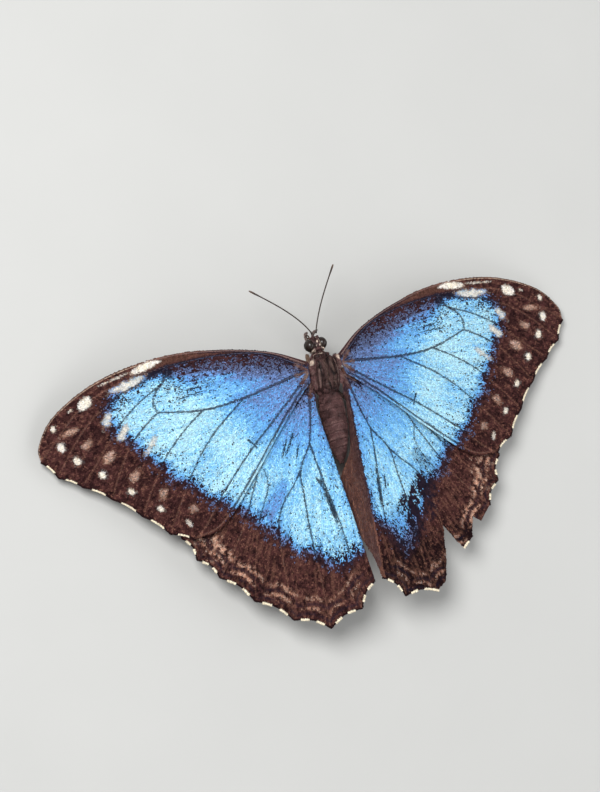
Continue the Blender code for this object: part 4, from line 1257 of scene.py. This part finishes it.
def marks_below(wing, veins, u, v, luck):
    """The markings of the underside: cream bands, lines along the margin and ringed eyes."""
    f = field(wing, veins, u, v)
    rag, fine, edge = f["rag"], f["fine"], f["edge"]
    pale = np.zeros(u.shape)
    for start, end, half in BELOW_BANDS[wing["name"]]:
        apart = beside((start, end), u, v)[0] + 1.1 * (rag - 0.5)
        pale = np.maximum(pale, ease(half + 0.55, half - 0.2, apart) * 0.62)
    rust = 0.03 + 0.18 * fine + 0.16 * near(edge, 8.0, 4.0)
    hollow = 0.5 * np.cos(2 * math.pi * (f["part"] - 0.5))
    pale = np.maximum(pale, 0.6 * near(edge, 2.6 + hollow, 0.55))
    rust = np.maximum(rust, 0.8 * near(edge, 1.5 + hollow, 0.5))
    line = 0.5 * near(edge, 3.6 + hollow, 0.5) + 0.5 * ease(0.25, 0.0, f["vein"]) + 0.4 * ease(0.5, 0.1, edge)
    for at_u, at_v, reach in BELOW_EYES[wing["name"]]:
        ring = np.hypot(u - at_u, (v - at_v) * 0.86) / reach + 0.06 * (rag - 0.5)
        outside = ring > 1.12
        pale = np.where(outside, pale, 0.0)
        rust = np.where(outside, rust, 0.2 + 0.8 * near(ring, 0.84, 0.2))
        pale = pale + 0.3 * near(ring, 0.86, 0.14) + near(ring, 0.0, 0.24)
        line = np.where(outside, line, 0.95 * ease(0.68, 0.6, ring) * ease(0.14, 0.22, ring))
        line = line + 0.85 * near(ring, 1.06, 0.1) * (ring > 0.96)
    warm = 0.7 + 0.3 * (f["wide"] - 0.5)
    none = np.zeros(u.shape)
    return clipped({"blue": none, "sheen": none, "pale": pale + 0.1 * (luck - 0.5), "rust": rust,
                    "line": line, "warm": warm, "grain": luck * 7.31 % 1.0})


GROUND, GROUND_WARM = (0.010, 0.003, 0.004), (0.092, 0.033, 0.030)
RUST, INK = (0.56, 0.27, 0.175), (0.010, 0.009, 0.020)
CHALK, STRAW = (0.86, 0.82, 0.80), (0.90, 0.80, 0.60)
# The blues, from deep through azure to the pale cyan of the painted sheen.
BLUES = ((0.0, (0.10, 0.125, 0.23)), (0.25, (0.17, 0.27, 0.56)), (0.5, (0.135, 0.42, 0.84)),
         (0.8, (0.29, 0.65, 0.93)), (1.0, (0.52, 0.83, 0.96)))


def scale_finish(name, roughness):
    """Scales: blue from deep to a pale painted sheen, a chocolate ground, rust and cream marks, dark lines.
    """
    made, shader, wire = new_finish(name, Specular_IOR_Level=0.05)
    grain = wire.mark("grain")
    blue = wire.mark("blue")
    ground = wire.blend(wire.mark("warm"), GROUND, GROUND_WARM)
    ground = wire.blend(wire.mark("rust"), ground, RUST)
    azure = wire.node("ShaderNodeValToRGB", {"stops": BLUES}, {"Fac": wire.mark("sheen")})
    colour = wire.blend(blue, ground, azure)
    cream = wire.blend(wire.mark("warm"), CHALK, STRAW)
    colour = wire.blend(wire.mark("pale"), colour, cream)
    colour = wire.blend(wire.mark("line"), colour, INK)
    feed(shader, {"Base Color": wire.lit(colour, 0.66 + grain * 0.55), "Metallic": blue * 0.35,
                  "Roughness": roughness - blue * 0.2,
                  "Normal": wire.bump(wire.noise(6500.0, 2.0), 0.00003, 0.6)})
    return made


membrane_look = scale_finish("wing_membrane", 0.68)
wings = []
for wing in (FOREWING, HINDWING):
    for side, word in ((1, "left"), (-1, "right")):
        margin, outer = wing_margin(wing, side)
        veins = vein_paths(wing, margin)
        shape, u, v, count = membrane(wing, side, margin, veins)
        luck = np.random.default_rng(21).random(len(u))
        above = marks_above(wing, side, veins, u[:count], v[:count], luck[:count])
        below = marks_below(wing, veins, u[count:], v[count:], luck[count:])
        marks = {key: np.concatenate((above[key], below[key])) for key in above}
        name = wing["name"] + "_" + word
        piece(name.replace("wing", "wing_membrane"), shape, membrane_look, marks, replaces=(name,))
        wings.append((wing, side, word, margin, outer, veins))

# ------------------------------------------------------------------------ veins
# Hollow ribs that stiffen the membrane, thickest at the hinge and along the front edge.
# They are dark over the blue and the colour of the border where they cross it.

VEIN_SIDES, VEIN_LEAST = 8, 0.05
FRONT_RIBS = (0.8, 0.4)            # how pale the forewing's two front ribs are towards the tip

vein_look, shader, wire = new_finish("wing_veins", Specular_IOR_Level=0.5)
wear = wire.noise(1800.0)
rib = wire.blend(wire.mark("blue"), (0.115, 0.060, 0.052), (0.012, 0.022, 0.060))
rib = wire.blend(wire.mark("costal"), rib, (0.42, 0.31, 0.22))
feed(shader, {"Base Color": wire.lit(rib, 0.6 + wear * 0.8), "Roughness": 0.35 + wear * 0.3,
              "Normal": wire.bump(wear, 0.00003)})
for wing, side, word, margin, outer, veins in wings:
    shapes, blue, costal = [], [], []
    for number, (path, thick) in enumerate(veins):
        u, v = path.T
        middle = place(wing, side, u, v, np.zeros(len(u)), pucker(veins, u, v))
        shapes.append(bar(middle, VEIN_LEAST + thick * 0.4, VEIN_SIDES))
        inside, lit_edge = ease(-0.5, 1.5, blue_depth(wing, side, u, v)), 0.0 * u
        if wing is FOREWING and number < len(FRONT_RIBS):
            inside, lit_edge = 0.0 * u, FRONT_RIBS[number] * ease(34.0, 42.0, u)
        blue.append(round_bar(inside, VEIN_SIDES, inside[[0, -1]]))
        costal.append(round_bar(lit_edge, VEIN_SIDES, lit_edge[[0, -1]]))
    piece(f"{wing['name']}_veins_{word}", joined(shapes), vein_look,
          {"blue": np.concatenate(blue), "costal": np.concatenate(costal)})

# ----------------------------------------------------------------- wing scales
# Overlapping shields that stand in rows like roof tiles, rooted in the membrane and
# pointing away from the hinge. Each is tilted a little differently, so the wing glitters.

ABOVE = {"row": 0.3, "gap": 0.28, "long": 0.52, "wide": 0.33}
BELOW = {"row": 0.42, "gap": 0.4, "long": 0.72, "wide": 0.47}
SHIELD = np.array(((0, 1, 4), (1, 2, 4), (2, 3, 4), (3, 0, 4), (0, 3, 2), (0, 2, 1)))
# Its root, right, tip, left and ridge: along, across, height for its tilt, and turn as it rolls.
SHIELD_OUTLINE = ((0.0, 0.0, 0.004, 0), (0.72, 0.5, 0.6, 1), (1.0, 0.0, 1.0, 0),
                  (0.72, -0.5, 0.6, -1), (0.6, 0.0, 1.05, 0))
SHIELD_PATCH = 0.2                 # its size on the unwrap, in mm of the wing's plan
FAN_REACH, FAN_TURN = (4, 84), (-2.2, 0.6)    # how far and through what angles the rows stand
SCALE_STRAY = 0.16                 # how unlike they point, and then their lengths, widths and tilts
SCALE_LONG, SCALE_WIDE = (0.85, 1.12), (0.88, 1.1)
SCALE_TILT, SCALE_ROLL = (0.03, 0.085), 0.016
SCALE_CLEAR = 0.005                # how far their roots stand off the membrane


def scale_roots(wing, margin, size, luck):
    """Where the scales of one side stand on the plan: in staggered rows round the hinge."""
    centre_u, centre_v = wing["centre"]
    u, v = [], []
    nearest, furthest = FAN_REACH
    for row in range(int(nearest / size["row"]), int(furthest / size["row"])):
        reach = row * size["row"]
        turn = np.arange(*FAN_TURN, size["gap"] / reach) + (row % 2) * size["gap"] / reach / 2
        u.append(centre_u + reach * np.cos(turn))
        v.append(centre_v + reach * np.sin(turn))
    u, v = np.concatenate(u), np.concatenate(v)
    u = u + luck.normal(0.0, size["gap"] * 0.1, len(u))
    v = v + luck.normal(0.0, size["gap"] * 0.1, len(v))
    keep = depth_in(margin, u, v) > 0.05
    return u[keep], v[keep]


def shields(wing, side, veins, u, v, way, size, face, luck):
    """Small bent shields at places on the plan, on the face that is 1 above and -1 below."""
    count = len(u)
    long = size["long"] * luck.uniform(*SCALE_LONG, count)
    wide = size["wide"] * luck.uniform(*SCALE_WIDE, count)
    ahead, right = np.stack((np.cos(way), np.sin(way))), np.stack((np.sin(way), -np.cos(way)))
    tilt, roll = luck.uniform(*SCALE_TILT, count), luck.normal(0.0, SCALE_ROLL, count)
    relief = pucker(veins, u, v)
    skin = MEMBRANE / 2 + SCALE_CLEAR
    points = []
    for along, across, rise, turned in SHIELD_OUTLINE:
        at = np.stack((u, v)) + ahead * long * along + right * wide * across
        height = skin + tilt * rise + turned * roll
        points.append(place(wing, side, at[0], at[1], face * height, relief))
    points = np.stack(points, 1).reshape(-1, 3)
    corners = (np.arange(count)[:, None, None] * len(SHIELD_OUTLINE) + SHIELD).reshape(-1, 3)
    local = np.array(SHIELD_OUTLINE)[:, :2] * SHIELD_PATCH
    flat = (np.stack((u, v), -1)[:, None] + local).reshape(-1, 2)
    return (points, facing_out(points, corners)), plan_of(wing, *flat.T)


scale_look = scale_finish("wing_scales", 0.62)
for wing, side, word, margin, outer, veins in wings:
    for face, size, label in ((1, ABOVE, "above"), (-1, BELOW, "below")):
        luck = np.random.default_rng(31 + face)
        u, v = scale_roots(wing, margin, size, luck)
        centre_u, centre_v = wing["centre"]
        way = np.arctan2(v - centre_v, u - centre_u) + luck.normal(0.0, SCALE_STRAY, len(u))
        long = size["long"]
        keep = depth_in(margin, u + long * np.cos(way), v + long * np.sin(way)) > -0.06
        u, v, way = u[keep], v[keep], way[keep]
        shape, plan = shields(wing, side, veins, u, v, way, size, face, luck)
        chance = luck.random(len(u))
        if face > 0:
            marks = marks_above(wing, side, veins, u, v, chance)
        else:
            marks = marks_below(wing, veins, u, v, chance)
        marks = {key: np.repeat(values, len(SHIELD_OUTLINE)) for key, values in marks.items()}
        piece(f"{wing['name']}_scales_{label}_{word}", shape, scale_look, marks, plan, smooth=False)

# ----------------------------------------------------------------------- fringe
# Longer narrow scales that stick out past the scalloped margin, cream in the hollows and
# dark at the vein ends; a hindwing's hollow has two cream dashes. A torn edge has lost them.

FRINGE_LONG, FRINGE_WIDE = 0.4, 0.22
FRINGE_ROWS = (0.3, 0.22, 0.14, 0.06)    # how far inside the margin each row is rooted
# Where cream lies in a hollow, how far it spreads, and how much longer it is.
FRINGE_CREAM = {"forewing": ((0.5,), 0.33, 0.06), "hindwing": ((0.28, 0.71), 0.16, 0.28)}
for wing, side, word, margin, outer, veins in wings:
    luck = np.random.default_rng(51)
    dashes, spread, more = FRINGE_CREAM[wing["name"]]
    shapes, plans, shares = [], [], []
    for stretch in outer:
        for row, back in enumerate(FRINGE_ROWS):
            steps = smooth_path(stretch, 0.14)
            along = np.gradient(steps, axis=0)
            way = np.arctan2(along[:, 1], along[:, 0]) + math.pi / 2 + luck.normal(0.0, 0.08, len(steps))
            inward = np.stack((np.cos(way), np.sin(way)), -1) * back
            u, v = (steps - inward + luck.normal(0.0, 0.02, steps.shape)).T
            in_cell = beside(scallops(wing["tips"], wing["scallop"]), u, v)[1] / CUTS % 1.0
            cream = np.max([near(in_cell, at, spread) for at in dashes], axis=0) > 0.2
            size = {"long": FRINGE_LONG + more * cream, "wide": FRINGE_WIDE}
            shape, plan = shields(wing, side, veins, u, v, way, size, 1 if row % 2 else -1, luck)
            shapes.append(shape)
            plans.append(plan)
            shares.append(np.repeat(cream * luck.uniform(0.88, 1.0, len(u)), len(SHIELD_OUTLINE)))
    pale = np.concatenate(shares)
    marks = {"blue": 0.0, "sheen": 0.0, "pale": pale, "rust": 0.0, "line": 0.0,
             "warm": 0.1 + 0.9 * (pale > 0.1),
             "grain": luck.random(len(pale) // len(SHIELD_OUTLINE)).repeat(len(SHIELD_OUTLINE))}
    piece(f"{wing['name']}_fringe_{word}", joined(shapes), scale_look, marks,
          np.concatenate(plans), smooth=False)

# ------------------------------------------------------------ hair on the wings
# Soft hair runs out from the hinges in tongues along the ribs of the wing roots, and
# clothes the strips of the hindwings that lie beside the abdomen.

ROOT_HAIRS, STRIP_HAIRS = 900, 7000
# The directions of the ribs, and how far behind the wing root they meet.
ROOT_RIBS = {"forewing": ((0.69, 0.61, -0.1, -0.67, -0.84), 0.4), "hindwing": ((-0.22, -0.5, -1.31), 3.2)}
ROOT_TINT, STRIP_TINT = 0.66, 0.55
STRIP_REACH = (-49.0, -7.0)
STRIP_WAY = -math.pi / 2 - 0.12
STRIP_INSET = {1: 1.3, -1: 0.6}    # how far inside the crest of the fold its hair begins
HAIR_LIFT = 12.0

for wing, side, word, margin, outer, veins in wings:
    luck = np.random.default_rng(61)
    ribs, behind = ROOT_RIBS[wing["name"]]
    way = luck.choice(ribs, ROOT_HAIRS) + luck.normal(0.0, 0.1, ROOT_HAIRS)
    reach = 0.1 + 3.4 * luck.random(ROOT_HAIRS) ** 1.6
    u, v = reach * np.cos(way), reach * np.sin(way) - behind
    long = 0.5 + 0.5 * luck.random(ROOT_HAIRS)
    tint = np.full(ROOT_HAIRS, ROOT_TINT)
    if wing is HINDWING:
        more_v = luck.uniform(*STRIP_REACH, STRIP_HAIRS)
        wide = np.interp(more_v, *np.array(FOLD_WIDTH[side]).T)
        more_u = crest_out(more_v) - STRIP_INSET[side] - luck.random(STRIP_HAIRS) * wide
        u, v = np.append(u, more_u), np.append(v, more_v)
        long = np.append(long, 0.55 + 0.4 * luck.random(STRIP_HAIRS))
        way = np.append(way, np.full(STRIP_HAIRS, STRIP_WAY))
        tint = np.append(tint, np.full(STRIP_HAIRS, STRIP_TINT))
    keep = depth_in(margin, u, v) > 0.15
    u, v, long, way, tint = u[keep], v[keep], long[keep], way[keep], tint[keep]
    relief, skin = pucker(veins, u, v), np.full(len(u), MEMBRANE / 2)
    at = place(wing, side, u, v, skin, relief)
    over = place(wing, side, u, v, skin + 0.1, relief)
    ahead = place(wing, side, u + 0.1 * np.cos(way), v + 0.1 * np.sin(way), skin, relief)
    rag = mottle(0.7, 15, u, v)
    marks = {"warm": np.clip(tint + 0.5 * (rag - 0.5), 0, 1), "olive": 0.5 * ease(0.5, 0.9, rag),
             "pale": 0.12 * ease(0.3, 0.8, rag) * (tint > 0.6)}
    shape = hairs(at, (over - at) * 10, ahead - at, long, HAIR_WIDE, HAIR_LIFT, luck)
    piece(f"{wing['name']}_hair_{word}", shape, hairy, hair_marks(marks, luck),
          hair_plan(plan_of(wing, u, v)), smooth=False)

# ------------------------------------------------------------ floor, light, camera
# A plain pale floor and soft studio light. The camera looks down from the front left
# with a long lens, leaning so that the butterfly's head points up and to the left.

VIEW_ROLL, VIEW_PITCH, VIEW_LEAN = math.radians(15.2), math.radians(-1.94), math.radians(20.0)
VIEW_STEPS, VIEW_UNIT = 600.0, 0.2365    # the view is this many steps wide, each this many mm
VIEW_OFFSET = (-24.79, -31.01, 2800.0)   # of the camera from the wing roots, in those steps
SENSOR = 36.0
FLOOR_HALF = 2.0                   # in metres
FLOOR_COLOUR, SKY_COLOUR, SKY_STRENGTH = (0.41, 0.41, 0.398), (0.95, 0.97, 1.0, 1.0), 0.36
# Lamps: place and size in metres, and power in watts.
LAMPS = (("key", (0.3, -0.25, 0.6), 0.35, 7.0), ("fill", (-0.5, 0.1, 0.35), 0.5, 1.6),
         ("back", (-0.1, 0.6, 0.4), 0.5, 1.6))

bm = bmesh.new()
bmesh.ops.create_grid(bm, x_segments=1, y_segments=1, size=FLOOR_HALF)
floor_mesh = bpy.data.meshes.new("floor")
bm.to_mesh(floor_mesh)
bm.free()
floor = bpy.data.objects.new("floor", floor_mesh)
bpy.context.collection.objects.link(floor)
floor.location.z = cad_box[0].z
floor_look, shader, wire = new_finish("floor", Roughness=0.9, Specular_IOR_Level=0.2)
feed(shader, {"Base Color": wire.lit(FLOOR_COLOUR, 0.97 + wire.noise(30.0) * 0.06)})
floor_mesh.materials.append(floor_look)

turn = (Matrix.Rotation(VIEW_ROLL, 3, "Z") @ Matrix.Rotation(VIEW_PITCH, 3, "X")
        @ Matrix.Rotation(VIEW_LEAN, 3, "Y"))
facing = Matrix.Diagonal((-1.0, -1.0, 1.0)) @ turn.transposed()
camera_data = bpy.data.cameras.new("camera")
camera_data.sensor_fit = "HORIZONTAL"
camera_data.sensor_width = SENSOR
camera_data.lens = SENSOR * VIEW_OFFSET[2] / VIEW_STEPS
camera_data.clip_start = 0.01
camera = bpy.data.objects.new("camera", camera_data)
bpy.context.collection.objects.link(camera)
stand = (Vector(ROOT) + facing @ Vector(VIEW_OFFSET) * VIEW_UNIT) * MM
camera.matrix_world = Matrix.Translation(stand) @ facing.to_4x4()
bpy.context.scene.camera = camera

for label, place_at, size, power in LAMPS:
    lamp = bpy.data.lights.new(label, "AREA")
    lamp.shape = "DISK"
    lamp.size = size
    lamp.energy = power
    lamp_object = bpy.data.objects.new(label, lamp)
    bpy.context.collection.objects.link(lamp_object)
    lamp_object.location = place_at
    lamp_object.rotation_euler = Vector(place_at).to_track_quat("Z", "Y").to_euler()
world = bpy.data.worlds.new("studio")
world.use_nodes = True
sky = world.node_tree.nodes["Background"].inputs
sky["Color"].default_value = SKY_COLOUR
sky["Strength"].default_value = SKY_STRENGTH
bpy.context.scene.world = world
bpy.context.scene.view_settings.view_transform = "Standard"
